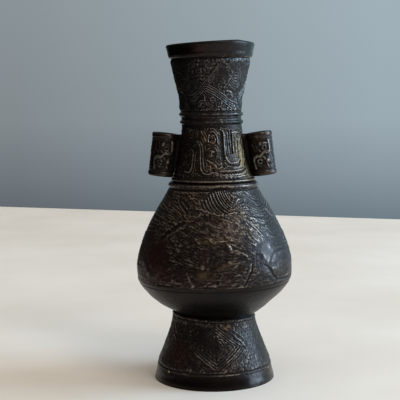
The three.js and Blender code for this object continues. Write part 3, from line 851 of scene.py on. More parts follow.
# The scene from the shoulder down. Points are [azimuth, height], and each form is a curve, a row of lines
# between two guides, or a patch, laid over grounds of short strokes.
def carveBelly(strip):
    drawStrokes(strip, (-60, 36), 88, 125.5, 1.45, 3.2, 0.7, 0.4, -24, 20)
    drawStrokes(strip, (-90, 90), 68.4, 90, 1.7, 3.0, 0.8, 0.22, -4, 30)
    # a fan of barbs under the shoulder, the ridge below it and the lines that rise to its right
    clearForm(strip, [(-16, 114.5), (-12, 122), (-6, 126), (22, 126), (20, 119), (15, 113.2), (0, 112)],
        0.0)
    drawForm(strip,
        [[-15, 114.5], [-11, 122], [-6, 125.5], [21, 125.5], [19, 119], [15, 113.4], [0, 112.2]], 0.3, 1.5,
        "cut")
    drawRibs(strip,
        [[-14, 116.2], [-12.5, 118.4], [-10.5, 120.5], [-8.5, 122.4], [-5.5, 124.2], [-2, 125.3]],
        [[-9, 113.8], [-4, 113.6], [1, 113.3], [6, 112.9], [10, 112.8], [13, 113.2]], 6, 0.95, 0.8, -0.1,
        wobble=0.15)
    drawRibs(strip, [[1.5, 126], [6, 126.3], [10, 126.2], [14, 126], [18, 125.4], [21, 124]],
        [[15, 114.2], [17, 115.8], [18.6, 117.6], [20, 119.4], [21.5, 121.2], [23, 122.8]], 8, 0.95, 0.8,
        -0.1, wobble=0.15)
    drawCurves(strip, ([[-19, 115.8], [-12, 115], [-7, 113.8]], [[-6, 113.4], [1, 112.4], [8, 112.2]],
        [[10, 111.8], [16, 112.6], [21, 113]]), 1.1, 0.7, wobble=0.3)
    drawForm(strip, [[-16, 112], [0, 111.4], [7, 110.6], [4, 107], [-6, 108.4]], 0.35, 2.0, "cut")
    drawRibs(strip, [[19, 115], [21, 117.6], [24, 120.6], [27.5, 123.6]],
        [[30, 117.4], [32, 120.4], [35, 123], [38, 125.6]], 6, 0.85, 0.38, 0.04, wobble=0.12)
    drawCurve(strip, [[20.5, 117.2], [24, 119.2], [28, 121]], 1.1, 0.6)
    drawDisc(strip, (28, 113), 1.7, 0.6, 1.8)
    # broad soft feathers to the right, down past the ear
    drawBetween(strip, [[38, 113], [46, 110.6], [56, 109.4], [68, 111], [82, 113], [100, 112]],
        [[42, 125], [49, 122.5], [57, 121.5], [68, 123.5], [82, 125.5], [100, 125.5]], 8, 1.4, 0.17,
        wobble=0.8)
    drawBetween(strip, [[48, 98], [57, 96.6], [68, 97], [80, 98.4], [100, 98]],
        [[40, 109], [47, 107.6], [56, 106.6], [68, 108], [100, 109]], 7, 1.4, 0.17, wobble=0.8)
    drawCurves(strip, ([[38.5, 125], [44, 121.6], [50, 119.6], [58, 119.4]],
        [[46, 117.6], [52, 115.4], [60, 116.4], [68, 114.6]],
        [[28, 112], [38, 110.4], [48, 109.2], [58, 109.6]],
        [[40, 106], [48, 104.4], [56, 105.6], [64, 104.2]],
        [[50, 100.4], [58, 97.2], [66, 98.2], [74, 97]]), 1.4, 0.22, "cut", wobble=0.4)
    drawCurve(strip, [[64, 113], [70, 107], [73, 100]], 2.4, 0.35)
    # feathers to the left
    drawRibs(strip, [[-92, 124], [-82, 112], [-78, 99]], [[-40, 116], [-34, 109.8], [-43, 99.6]], 11, 0.9,
        0.3, 0.02, wobble=0.4)
    drawRibs(strip, [[-49, 122.5], [-50, 117], [-52, 110]], [[-33, 117.6], [-34, 112.4], [-36, 106.4]], 9,
        0.85, 0.58, 0.03, wobble=0.3)
    clearForm(strip, [(-43, 122), (-35, 120), (-27, 116.4), (-27, 113.4), (-35, 116), (-43, 118)], 0.15,
        1.0)
    drawCurves(strip, ([[-39, 119.4], [-34, 117.6], [-28.5, 115]], [[-29, 110.6], [-25, 109.4]],
        [[-21, 111.4], [-17, 110.6], [-14, 112.2]], [[-44, 119.4], [-38, 116.6], [-31, 113.4]],
        [[-50, 111.2], [-44, 109.9], [-38, 108.4]], [[-46, 107.2], [-40, 106.8], [-36, 105.8]],
        [[-43, 103], [-38, 101.4]], [[-29, 121.2], [-22, 121.7]]), 0.9, belly["edgeHeight"], wobble=0.25)
    # a deep crack of shade between the feathers and what is under them
    drawCurve(strip, [[-50, 90.5], [-48.5, 95], [-44, 99.6], [-38, 102.6], [-33.5, 105.6], [-29, 106.6]],
        3.2, 0.5, "cut", wobble=0.5)
    # the body in the middle: a low cushion with slanting bars
    drawForm(strip, [[-28, 107.5], [-12, 110], [4, 108.4], [18, 110.4], [28, 107.5], [35, 101], [38, 94.5],
        [33, 91], [24, 92], [14, 94], [4, 95.5], [-8, 97], [-18, 100.5]], 0.28, 3.0)
    drawCurves(strip, ([[-17, 107.6], [-12, 106], [-6, 104.2]], [[-19, 104.6], [-13, 102.6], [-8, 101.2]],
        [[-15, 100.8], [-10, 99.2], [-6, 98.6]], [[-4, 106.6], [1, 105], [5, 103.8]],
        [[4, 109.6], [10, 108.8], [15, 107.6]]), 0.85, 0.6, wobble=0.25)
    drawStrokes(strip, (-2, 30), 96.5, 110.5, 1.3, 2.0, 0.65, 0.36, -50, 32)
    drawStrokes(strip, (-24, 0), 96, 110, 1.6, 3.2, 0.7, 0.48, -22, 20)
    # plumes that fall to the right of it
    drawCurves(strip, ([[27, 109.4], [30.5, 107.6], [33, 105.6]], [[28.5, 106.4], [32, 103.8], [37, 100.6]],
        [[30, 103.4], [32, 101.4]], [[33, 105.6], [36, 103.4], [39, 100.4]],
        [[36, 100], [39.6, 97.2], [41.8, 94]], [[31, 98.6], [34, 96.4], [36.6, 94.6]],
        [[27, 100.4], [29, 98]], [[27, 95.6], [31, 93.6], [34.6, 91.6]]), 0.95, 0.62, wobble=0.25)
    drawStrokes(strip, (22, 42), 94, 111, 1.5, 4.6, 0.65, 0.42, -38, 8)
    # a smooth worn shoulder that catches the light
    clearForm(strip, [(33, 92), (40, 95), (50, 95), (55, 89), (50, 82), (42, 80), (36, 84)], 0.15, 3.0)
    drawForm(strip, [[34, 90], [41, 93], [49, 92.6], [52, 88], [46, 83], [39, 81.5], [36, 86]], 0.3, 4.0)
    # the small head: a bright ridge, a beak, and the throat's hollow
    drawCurve(strip, [[-8.4, 99], [-5, 97.8], [-2.4, 95.8], [0, 95.4]], 1.0, 0.75, wobble=0.25)
    drawCurve(strip, [[-0.6, 96.2], [3, 96.4], [8, 96.8]], 0.95, 0.7, wobble=0.25)
    drawForm(strip, [[8, 95.8], [10.5, 95], [12.4, 92.4], [12, 90.4], [10, 92.2]], 0.8, 0.9)
    drawCurve(strip, [[11, 95.2], [16, 93.2], [20, 91.4]], 1.1, 0.5, wobble=0.25)
    drawCurve(strip, [[17, 90.4], [20, 89], [23.5, 87.2]], 1.5, 0.5, wobble=0.3)
    drawForm(strip, [[-4, 92], [8, 92.5], [10, 88], [4, 82], [-3, 79.5], [-5, 86]], 0.35, 2.5, "cut")
    drawRibs(strip, [[1, 93.4], [10, 92.6]], [[-6, 84.5], [2, 80]], 6, 0.85, 0.3, -0.05, wobble=0.3)
    drawCurve(strip, [[-6.8, 92], [-7.8, 88], [-9.2, 83]], 3.0, 0.24, wobble=0.2)
    drawDisc(strip, (-9.4, 81.4), 1.5, 0.6, 2.0)
    # needles and bars at the left of the throat
    drawRibs(strip, [[-34, 86.8], [-27, 89.6], [-16, 91]], [[-19, 81.2], [-12.5, 83.2], [-9.5, 86.6]], 7,
        0.9, 0.36, -0.03, wobble=0.3)
    drawCurves(strip, ([[-35.5, 85], [-31, 84], [-26, 83]], [[-26, 88.6], [-23, 87.6], [-19, 86.2]],
        [[-17, 88], [-13, 86.4]], [[-23.5, 86.2], [-18, 84.4], [-12.5, 82.6]],
        [[-22, 83.4], [-16, 82.2], [-11, 81]]), 0.85, 0.5, wobble=0.3)
    drawCurve(strip, [[-44, 91.8], [-36, 92.4], [-28, 91.4], [-21, 92.8]], 1.2, 0.35, wobble=0.3)
    drawBetween(strip, [[-42, 94], [-32, 93.6], [-18, 94.4], [-11, 95.6]],
        [[-42, 99], [-34, 102], [-26, 104.6], [-21, 104]], 5, belly["line"], 0.25, wobble=0.8)
    drawCurve(strip, [[-37, 78.6], [-33, 79.6], [-30.5, 77.4], [-32.5, 74.8], [-31, 71.5]], 1.6, 0.25)
    # two posts, a flat rock and the water between them
    drawCurve(strip, [[-20.2, 77.4], [-19, 74.4], [-17.6, 72.4], [-15.6, 70]], 2.8, 0.34, wobble=0.5)
    drawCurve(strip, [[27.6, 82], [26, 78], [23.6, 74], [20.5, 69.4]], 1.3, 0.4, "cut", wobble=0.3)
    drawCurve(strip, [[26, 82], [24.4, 78], [21.6, 73], [19, 69.8]], 1.8, 0.1)
    rock = np.array([[-14, 79.6], [-1, 79], [0, 76], [0.5, 73], [-8, 73.4], [-13, 74]])
    drawPatch(strip, rock, 0.14, 1.8)
    drawDisc(strip, (1.4, 72.4), 1.1, 0.5, 0.8, "cut")
    drawBetween(strip, [[3, 71.8], [12, 71.3], [19, 71.4]], [[5, 81.5], [13, 83], [24, 82]], 6, 1.1, 0.2,
        wobble=0.8)
    # water that curls up on the right
    drawBetween(strip, [[30, 87], [30, 78], [34, 72.5], [44, 70.3]],
        [[37.5, 83.5], [38, 80.5], [40, 78.6], [42.5, 77.6]], 6, 1.0, 0.22, wobble=0.25)
    # the rock at the right, in front of more water
    clearForm(strip, [(40, 78), (48, 88), (60, 89), (74, 86), (76, 74), (60, 70.4), (50, 70.6)], 0.3)
    drawForm(strip,
        [[44, 82.5], [50, 86.6], [58, 87.6], [70, 87], [78, 81], [74, 73], [60, 71], [50, 72], [45, 77]],
        0.25, 1.8)
    drawCurve(strip, [[38, 81], [42, 78.4], [45.4, 74.6], [49.5, 71.2], [57, 70.4], [68, 70.4]], 1.4, 0.42,
        "cut")
    drawCurve(strip, [[44, 81], [46, 84.4], [51, 87.4], [58, 88.4], [68, 88]], 1.2, 0.1, "cut")
    drawBetween(strip, [[50, 74.5], [58, 73], [70, 74.5], [77, 79]],
        [[46.5, 82], [53, 85.4], [62, 86], [74, 84]], 7, 1.0, 0.24, wobble=0.5)
    drawBetween(strip, [[56, 90], [68, 90.4], [80, 88]], [[57, 94.6], [68, 93.8], [82, 94.6]], 3, 1.6, 0.14,
        wobble=0.9)
    # the round leaf at the left, with waves on it and under it
    clearForm(strip,
        [(-70, 84), (-65, 92), (-54, 96), (-43, 92), (-39, 84), (-43, 76), (-54, 72), (-65, 76)], 0.2)
    drawDisc(strip, (-53, 83.4), 12.2, 0.45, 4.5)
    drawRing(strip, (-53, 83.4), 12.8, 1.6, 0.24, 40, 190)
    drawBetween(strip, [[-68, 77], [-56, 75], [-40, 77]], [[-66, 91], [-55, 91], [-43, 90]], 8, 1.1, 0.34,
        wobble=1.6)
    drawBetween(strip, [[-94, 71.5], [-74, 71], [-56, 71.2], [-38, 71.6], [-24, 71.4]],
        [[-94, 76], [-76, 73.5], [-58, 72], [-42, 73], [-34, 75.5]], 3, 1.2, 0.24, wobble=0.7)
    # cloud bands at the sides, where one panel meets the next
    drawBetween(strip, [[82, 89], [92, 92], [102, 89]], [[82, 95], [92, 97.5], [104, 95.5]], 4, 1.0, 0.4,
        wobble=0.6)
    for x, z, size in ((86, 82, 5.2), (97, 77.5, 4.6), (99, 87, 4.2)):
        for share in (1.0, 0.72, 0.44):
            drawRing(strip, (x, z), size * share, 1.0, 0.42)
    # borders
    drawBand(strip, 68.3, 1.1, 0.25, wave=0.1)
    drawCurve(strip, [[-46, 69.3], [-38, 69.1], [-32, 69.3]], 0.9, 0.45, "cut")
    drawCurve(strip, [[-16, 69.2], [-8, 69.4], [0, 69.2]], 0.9, 0.35, "cut")
    drawBand(strip, 126.4, 1.1, 0.35, "cut", 0.05)
    drawBand(strip, 128.5, 2.9, 1.0)
    drawBand(strip, 129.0, 0.9, 0.26, "raised", 0.05)


makeCasting("bellyCasting", "belly_casting", belly, carveBelly, carvedBronze)


# Collar

collar = {
    "columns": 560,
    "rowStep": 0.29,
    "repeats": 2,
    "outer": [
        [26.2, 130], [26.2, 133.2], [25.75, 134.6], [24.85, 137.2], [24.0, 140], [22.85, 144], [22.0, 148],
        [21.25, 151.6], [20.7, 155], [20.0, 160], [19.5, 166.5],
    ],
    "innerStep": 2.5,
    "hollow": (131.5, 160.4),
    "top": [[18.05, 166.5], [18.05, 160.7], [16.3, 160.7]],
    "bottom": [[23.2, 130.5], [23.4, 124.5], [24.9, 124.5], [24.9, 130]],
    "uneven": 0.075,
    "contrast": 1.4,
    "ring": (131.6, 2.7, 0.95),  # the height, width and depth of the moulding at its foot
    "spots": {
        # yellower patches, the largest at the right edge
        "brassAndHighlight": [
            (57, 148, 12, 13, 1.4), (-15, 159, 5, 3, 0.5), (0, 142, 12, 2.6, 0.4), (58, 136, 14, 4, 0.8),
            (-2, 157, 6, 3, 0.35), (240, 147, 10, 10, 0.6),
        ],
        "red": [(-10, 160, 8, 4, 0.6), (-2, 141, 8, 3, 0.6)],
        # dark spots: painted shade on the shaded left and at the right edge beside the ear
        "dark": [(-62, 148, 26, 30, 0.8), (64, 150, 12, 15, 0.4), (46, 160, 8, 4, 0.4)],
        "gloss": [(26, 152, 8, 9, 0.7)],
        # lighter spots: a painted highlight in the hooked band's U, and partly rubbed wear, partly painted
        # light on the bottom rings
        "wearAndHighlight": [
            (27, 150, 12, 12, 0.14), (-16, 150, 7, 14, 0.08), (20, 137, 26, 2.5, 0.2), (20, 132, 60, 2, 0.25),
        ],
    },
}


# Hooked bands, a ring boss and a leaf. Lines stand out along their curves, and grooves are cut along theirs.
def carveCollar(strip):
    line = lambda points, width, height: drawCurve(strip, points, width, height)
    groove = lambda points, width, height: drawCurve(strip, points, width, height, "cut")
    # the broad hooked band: a U with a tongue, on a flat raised ground
    drawPanel(strip, [[20, 163], [20, 152], [20.5, 146.5], [25, 144], [34, 143], [44, 143.6], [49.5, 146.5],
        [52, 154], [52, 163]], 0.45, 0.7)
    groove([[30.3, 163.6], [30.3, 156], [30.3, 148.5]], 0.9, 0.5)
    groove([[36, 163.6], [35.8, 156], [35, 149.3]], 1.4, 0.7)
    groove([[26, 161], [25.8, 156], [26, 149.5]], 0.8, 0.3)
    groove([[42.4, 160], [42, 155], [41, 149.5]], 0.9, 0.35)
    groove([[51, 156.5], [49, 151], [46.8, 146.6]], 1.5, 0.9)
    line([[20.8, 162.5], [20.8, 153], [21.2, 147.4], [24.6, 144.4], [34, 143.1], [44, 143.7], [48.6, 145.6]],
        1.2, 0.9)
    groove([[21, 144.6], [26, 142], [36, 141.3], [46, 142], [50.5, 144.4]], 1.0, 0.55)
    line([[33, 163], [32.8, 154], [32.8, 148.6]], 0.8, 0.7)
    line([[39.2, 161], [38.8, 155], [37.8, 149.2]], 1.3, 0.85)
    line([[28.4, 162], [28.4, 155], [28.6, 149]], 0.8, 0.62)
    line([[46.6, 159], [46.2, 153], [44.4, 148]], 0.8, 0.62)
    line([[38.5, 162.3], [46, 162.7], [56, 162.2], [66, 161]], 1.1, 0.7)
    drawRibs(strip, [[22.5, 147.5], [26.5, 147], [40, 147], [44, 147.5]],
        [[24, 145.5], [28, 144.8], [39, 144.7], [43, 145.4]], 8, 0.7, 0.62, wobble=0.3)
    # the outer arm that goes round it and along the bottom
    drawPanel(strip, [[51.5, 161], [53, 152], [51, 145.5], [46, 141.6], [36, 140.6], [24, 141], [24, 139.6],
        [38, 139.3], [52, 140.5], [60, 144.5], [64, 152], [63.5, 161]], 0.35, 0.8)
    line([[57, 160.5], [58, 152], [55, 145], [48, 141.2], [36, 140.6], [22, 141.2]], 0.9, 0.6)
    line([[64, 160], [65, 151], [61, 144], [54, 140.6]], 0.9, 0.5)
    # the bottom lines
    line([[9, 138.2], [22, 138.4], [34, 138.3], [48, 138.9], [63, 141]], 1.1, 0.8)
    groove([[12, 137], [28, 137], [46, 137.4], [62, 139.4]], 1.0, 0.65)
    line([[14, 135.8], [30, 135.7], [48, 136.1], [66, 137.6]], 0.8, 0.4)
    line([[18, 134.9], [40, 134.6], [64, 135.4]], 0.8, 0.35)
    for x in (18.5, 25, 31, 37.5):
        drawRing(strip, (x, 134.2), 0.45, 0.7, 0.45)
    # the beaded groove left of the U, and its small hook
    groove([[15.8, 163.5], [15.8, 155], [15.5, 147], [16.5, 141.5]], 2.4, 0.55)
    for z in np.arange(142.5, 163, 1.9):
        drawRing(strip, (15.8, z), 0.45, 0.7, 0.35)
    line([[12.4, 162], [12, 154], [12, 146], [13.5, 141.5]], 0.8, 0.2)
    line([[15, 164.4], [19, 163.6], [22.5, 160.5]], 1.1, 0.7)
    line([[16, 165.6], [23, 164.6], [31, 165.2]], 0.8, 0.4)
    # the ring boss, with the bands that wrap its right side
    drawDisc(strip, (-3, 149.4), 2.5, 0.75, 1.2)
    drawDisc(strip, (0.8, 149.2), 0.8, 0.9, 0.7, "cut")
    for x in (-6.5, -3.6):
        groove([[x, 151], [x, 148]], 0.7, 0.4)
    drawRing(strip, (-2, 149.4), 3.6, 0.9, 0.4, 60, 300)
    line([[0, 153.4], [4, 152.8], [7, 150.4], [6.6, 147], [3, 145]], 0.85, 0.6)
    line([[3.5, 155], [8, 153.4], [9.6, 150], [9, 146.4]], 0.8, 0.45)
    drawRing(strip, (6.4, 151), 0.6, 0.7, 0.5)
    line([[-9.5, 151], [-9.8, 147], [-6, 144.4], [0, 143.8]], 0.8, 0.45)
    # the hooked double arch over it
    line([[-7.5, 157], [-6.6, 160.8], [-2, 163.2], [4, 162.6], [8, 159.8], [9.4, 155.5]], 1.05, 0.8)
    line([[-3, 165.4], [4, 164.8], [9.4, 161.8]], 0.9, 0.5)
    line([[-2.6, 160.6], [1.5, 160.9], [4.6, 158.6], [3, 156], [-1, 156.2]], 0.8, 0.5)
    for x, z, size in ((-4.6, 162, 0.8), (-4.6, 158.2, 0.9), (1.4, 158.2, 0.7)):
        drawDisc(strip, (x, z), size, 0.75, 0.7, "cut")
    # the leaf that falls from the left
    line([[-20, 163.3], [-17, 160.8], [-12, 157.2]], 1.3, 0.8)
    line([[-16, 163.6], [-13, 161.6], [-8.6, 158.4]], 0.9, 0.55)
    line([[-23, 161.5], [-19.4, 158.6], [-15, 156.4]], 0.8, 0.45)
    # the double line that turns under
    line([[-29, 157.2], [-25, 155.8], [-21.8, 152.8], [-20.6, 148], [-19.6, 142.5], [-18, 139.3],
        [-14, 137.2], [-8, 136.6], [-1.5, 137.4]], 1.05, 0.85)
    line([[-23, 157], [-18.6, 154.4], [-16.8, 150.5], [-15.8, 145.5], [-14.8, 141.4], [-12.4, 139.1],
        [-8.6, 138.4]], 0.95, 0.75)
    groove([[-26, 156.6], [-21, 153.8], [-18.8, 149.5], [-17.8, 144], [-16.2, 140], [-12, 137.9]], 0.9, 0.4)
    line([[-13, 154], [-12.6, 149], [-12.4, 145.5], [-9, 142.2]], 0.8, 0.45)
    # the lower curl
    line([[-9, 145.4], [-4, 144], [2, 142.2], [7, 139.8], [13, 141]], 1.3, 0.75)
    line([[-3, 146], [4, 144.4], [9, 142.4], [14, 143.2]], 0.8, 0.5)
    drawRing(strip, (-8.3, 140.6), 1.1, 0.8, 0.6, 40, 320)
    line([[-4.5, 142], [-4, 139.6], [-5.6, 138]], 0.9, 0.55)
    for x, z, size in ((0, 138.9, 1.0), (8.6, 137.6, 0.8)):
        drawDisc(strip, (x, z), size, 0.8, 0.7, "cut")
    # the left-hand bands, in shade
    line([[-38.5, 151.6], [-35.6, 151], [-34.4, 148.5], [-34, 143], [-34.4, 139.5], [-37, 137.8], [-46, 138]],
        1.0, 0.72)
    line([[-30.2, 149], [-29.8, 144], [-30, 139.5], [-33, 136.2]], 0.9, 0.45)
    groove([[-32.2, 150.5], [-32, 144], [-32.2, 139]], 1.0, 0.4)
    line([[-57.5, 155.5], [-55, 152], [-52, 147.5], [-51, 141.5]], 1.1, 0.4)
    line([[-54, 139.8], [-48, 139.8], [-42, 140.6]], 0.9, 0.2)
    groove([[-47, 155], [-46.4, 149], [-45.4, 143]], 1.1, 0.4)
    line([[-57, 156.8], [-50, 157.2], [-42, 156.6]], 1.0, 0.2)
    drawRibs(strip, [[-58, 159.5], [-44, 160.5], [-30, 160]], [[-56, 163.4], [-42, 164], [-27, 163.4]], 9,
        0.8, 0.28, 0.1, wobble=0.5)
    drawStrokes(strip, (-68, 66), 134.8, 165.5, 1.6, 1.7, 0.7, 0.3, 0, 80)
    # under the ears, plain bands only
    line([[66, 163], [80, 163.2], [96, 163], [114, 162.6]], 0.8, 0.35)
    # rings at the bottom
    drawBand(strip, *collar["ring"])
    drawBand(strip, 132.0, 0.9, 0.24, "raised", 0.05)
    drawBand(strip, 133.75, 0.9, 0.3, wave=0.05)


makeCasting("collarCasting", "collar_casting", collar, carveCollar, carvedBronze)


# Neck

neck = {
    "columns": 480,
    "rowStep": 0.34,
    "repeats": 4,
    "outer": [
        [19.5, 166.5], [19.55, 172], [19.9, 176.5], [20.1, 182], [20.8, 187], [22.0, 192], [23.2, 197.5],
        [24.35, 202.5], [25.4, 207], [26.0, 210.2], [27.0, 211.0], [27.8, 214], [28.5, 217.5], [28.7, 218.6],
    ],
    "innerStep": 2.0,
    "hollow": (167.5, 217.5),
    "top": [[28.55, 219.3], [28.0, 219.85], [27.0, 220.0], [26.2, 219.9], [25.6, 219.4]],  # the rounded rim
    "bottom": [[16.3, 166.5], [16.3, 161], [17.75, 161], [17.75, 166.5]],
    "uneven": 0.06,
    "contrast": 1.4,
    "bandLines": 4,
    "bandPitch": 1.45,  # mm between the lines of a band
    "spots": {
        "red": [(-14, 214, 12, 3, 0.8), (-12, 172, 10, 3, 0.5), (-22, 196, 10, 6, 0.3)],
        # dark spots: painted shade over the shaded left of the neck and mouth, and a little at the right
        "dark": [
            (-58, 193, 44, 40, 1.0), (-30, 193, 20, 18, 0.9), (-44, 214, 30, 6, 0.9), (62, 184, 14, 10, 0.4),
        ],
        "gloss": [(40, 204, 14, 8, 0.5), (0, 215, 400, 4, 1.0)],
        # lighter spots: a painted highlight along the rim, and partly rubbed wear, partly painted light on
        # the ring and the right side
        "wearAndHighlight": [
            (24, 171.5, 16, 4, 0.2), (20, 219.6, 70, 1.0, 0.35), (42, 196, 16, 16, 0.14),
            (0, 198, 9, 7, 0.12),
        ],
        "worn": [(60, 196, 16, 22, 0.4), (44, 206, 14, 6, 0.6)],
        # a painted highlight on the rim's right edge, in a yellower colour
        "brassAndHighlight": [(33, 219.6, 4, 0.8, 1.2)],
    },
}


# A band of lines side by side: each is the first one, moved down, with a groove under it.
def drawNeckBand(strip, points, firm):
    base = smoothCurve(points, carver["spacing"])
    lines = np.arange(neck["bandLines"]) * neck["bandPitch"]
    around = np.vstack([base + [0, 0.9], (base - [0, lines[-1] + 0.9])[::-1]])
    clearForm(strip, around, 1 - 0.85 * firm, 0.8)
    drawPatch(strip, around, 0.1 * firm, 0.8)
    for down in lines:
        drawLine(strip, base - [0, down] + hand.uniform(-0.2, 0.2, base.shape), 0.85, 0.62 * firm)
        drawLine(strip, base - [0, down + neck["bandPitch"] / 2], 0.6, 0.2 * firm, "cut")


# Slanting bands that cross, nested points and blossoms on a ground of scrolls.
def carveNeck(strip):
    drawGround(strip, 176.5, 209, 1.9, 0.7, 0.4)
    drawNeckBand(strip, [[-32, 186.6], [-20, 190.6], [-9, 195.2], [3, 200.4], [11, 205.2]], 1.0)
    drawNeckBand(strip, [[-9, 193.6], [3, 191.4], [23, 186.4], [36, 183], [44, 181.8]], 1.0)
    drawNeckBand(strip, [[12, 206.4], [20, 202.6], [27, 199.4]], 0.45)
    clearForm(strip, [(30, 190), (32, 200), (44, 205), (54, 202), (57, 192), (44, 187)], 0.5, 2.0)
    for k in range(7):  # nested points to the right of the crossing
        z, lift = 189.6 + 1.75 * k, 0.3 * k
        left, right = [28.5 + 1.2 * k, z + 4.4 - lift], [57.5 - k, z + 4.2 - lift]
        drawCurve(strip, [left, [36.5, z + 1.5], [43.5, z], [50.5, z + 1.6], right], 0.85, 0.3, wobble=0.06)
    # a scroll under the crossing, and what surrounds it
    drawScroll(strip, (12.5, 180.8), 2.8, 0.7, 100, -480, 0.85, 0.6)
    drawScroll(strip, (2, 183.6), 2.2, 0.6, 250, 420, 0.8, 0.5)
    for k in range(4):
        drawLine(strip, [[-6 + 4.2 * k, 182.2 - 1.1 * k], [1 + 4.2 * k, 177.9 - 0.3 * k]], 0.75, 0.5)
    drawLine(strip, [[-11.5, 186.4], [-11.2, 182.6]], 1.0, 0.65)
    drawRing(strip, (-16, 180.2), 2.9, 0.9, 0.5, 10, 185)
    drawRing(strip, (-16, 180.2), 1.4, 0.8, 0.45)
    drawScroll(strip, (-26, 181.5), 2.0, 0.6, 0, 430, 0.8, 0.45)
    # blossoms
    for x, z, size in ((12.5, 191.5, 1.7), (19, 195, 1.3), (-18, 200.5, 1.9), (-27, 195, 1.5),
        (31, 204.5, 1.8), (-2, 205, 1.7)):
        drawDisc(strip, (x, z), size + 0.9, 0.2, 0.6)
        for petal in pointsRound(strip, (x, z), size, np.radians(np.arange(5) * 72 + 20)):
            drawRing(strip, petal, 0.5, 0.6, 0.52)
        drawRing(strip, (x, z), 0.35, 0.6, 0.55)
    drawCurve(strip, [[-14.5, 203.5], [-15, 200.5], [-12.6, 198.6]], 1.1, 0.65)
    drawCurve(strip, [[-27.5, 195.5], [-27, 192.6], [-24.6, 190.8]], 1.0, 0.55)
    drawCurve(strip, [[28.5, 203.6], [31.5, 202.2], [34.4, 200.4]], 1.1, 0.65)
    drawCurve(strip, [[27, 188.8], [33, 188.6], [39, 187.4]], 1.1, 0.6)
    drawCurve(strip, [[30, 186.8], [36, 186.6], [40, 185.4]], 0.8, 0.45)
    drawRing(strip, (-5, 205.2), 2.7, 0.8, 0.45, -60, 130)
    # rings and the plain mouth band
    drawBand(strip, 168.9, 2.5, 1.1, wave=0.05)
    drawBand(strip, 173.9, 2.5, 1.15, wave=0.05)
    drawBand(strip, 169.4, 0.7, 0.12, "raised", 0.05)
    drawBand(strip, 174.4, 0.7, 0.15, "raised", 0.05)
    clearForm(strip, [(26, 208), (24, 203), (34, 199), (46, 200), (58, 203), (60, 208)], 0.6, 4.0)
    drawBand(strip, 171.5, 0.9, 0.3, "cut")
    drawBand(strip, 176.0, 0.9, 0.3, "cut")
    drawBand(strip, 209.7, 0.9, 0.4, "cut")
    drawBand(strip, 210.6, 0.9, 0.3, wave=0.05)
    drawBand(strip, 210.6, 0.6, 0.08, "raised", 0.05)


makeCasting("neckCasting", "neck_casting", neck, carveNeck, neckBronze)


# Ears

ear = {
    "columns": 168,
    "rowStep": 0.3,
    "radius": 8.3,
    "lip": 0.5,
    "bore": 6.4,
    "length": 28.0,
    "offset": 31.9,
    "middle": 148.0,
    "tilt": 7.0,  # degrees, its top towards the neck
    "webWidth": 6.0,
    "webHeight": 26.0,
    "contrast": 1.4,
    "sharpness": 0.85,
    "blur": (2.6, 0.3),
    "skin": ((0.9, 0.05), (2.4, 0.05)),
    "spots": {
        "gloss": [(0, 13, 400, 2, 0.6), (0, -13, 400, 2, 0.6), (66, 0, 34, 12, 0.9)],
        # a dark spot of painted shade at azimuth 160, which on the left ear faces the camera
        "dark": [(160, 0, 50, 30, 0.5)],
        "worn": [(80, 0, 26, 12, 0.5)],
        # painted highlights along the lips at both ends, partly rubbed wear
        "wearAndHighlight": [
            (14, 12.6, 70, 2, 0.3), (14, -12.6, 70, 2, 0.3), (190, 12.6, 60, 2, 0.25),
            (190, -12.6, 60, 2, 0.3),
        ],
    },
}


# The collar's radius at a height, for pieces that sit on it. Its ring adds 1 - (2 distance / width)^2 times
# its depth.
def collarRadius(z):
    curve = smoothCurve(collar["outer"], carver["guideSpacing"])
    middle, width, depth = collar["ring"]
    return np.interp(z, curve[:, 1], curve[:, 0]) + depth * np.clip(1 - (2 * (z - middle) / width) ** 2, 0, 1)


# Stands the tube up at its place, leans it, and moves what would lie inside the collar out to its face.
def seatEar(side):
    def place(points):
        cos, sin = np.cos(np.radians(ear["tilt"])), np.sin(np.radians(ear["tilt"]))
        x, y, z = points.T
        leaned = np.column_stack([x * cos - z * sin, y, x * sin + z * cos])
        leaned += [ear["offset"], 0, ear["middle"]]
        least = collarRadius(leaned[:, 2]) + 0.15
        leaned[:, :2] *= side * np.maximum(least / np.hypot(leaned[:, 0], leaned[:, 1]), 1)[:, None]
        return leaned

    return place


# A lip and a bead at each end, and scrolls between them. Heights are from the tube's middle.
def carveEar(strip):
    half = ear["length"] / 2
    drawGround(strip, -half + 5, half - 5, 2.2, 0.8, 0.22)
    for z in (-half + 1.6, half - 1.6):
        drawBand(strip, z, 2.9, ear["lip"])
    for z in (-half + 4.2, half - 4.2):
        drawBand(strip, z, 0.9, 0.35)
    # an S scroll with a ring in each bend, on the front and on the back
    for turn in (0, 180):
        for x, z, start in ((14, 4.2, 200), (-12, -4.6, 20)):
            drawRing(strip, (turn + x, z), 1.4, 1.5, 0.5, start, start + 290)
            drawDisc(strip, (turn + x, z), 0.6, 0.4, 0.9, "cut")
            drawScroll(strip, (turn + x, z), 3.8, 2.7, start, 260, 1.6, 0.5)
        drawCurve(strip, [[turn + 36, 8.5], [turn + 38, 3.6], [turn + 24, 1.2], [turn + 6, 1.0],
            [turn - 8, -1.2], [turn - 26, -1.4], [turn - 38, -4.2], [turn - 34, -8.5]], 2.0, 0.85,
            wobble=0.4)
        drawDisc(strip, (turn - 4, 6.8), 1.3, 0.7, 1.5)
        drawDisc(strip, (turn + 24, -4.5), 1.4, 0.7, 1.5)
        drawCurve(strip, [[turn - 40, 6], [turn - 30, 2.5], [turn - 18, 4.5], [turn - 24, 8]], 1.3, 0.35,
            wobble=0.4)
        drawCurve(strip, [[turn + 42, -6], [turn + 30, -2.5], [turn + 18, -5], [turn + 24, -8.5]], 1.3,
            0.35, wobble=0.4)
    for x in (90, 270):
        drawScroll(strip, (x, 3.5), 3.2, 0.8, 90, 430, 0.9, 0.5)
        drawScroll(strip, (x, -4.5), 3.2, 0.8, 270, 430, 0.9, 0.5)


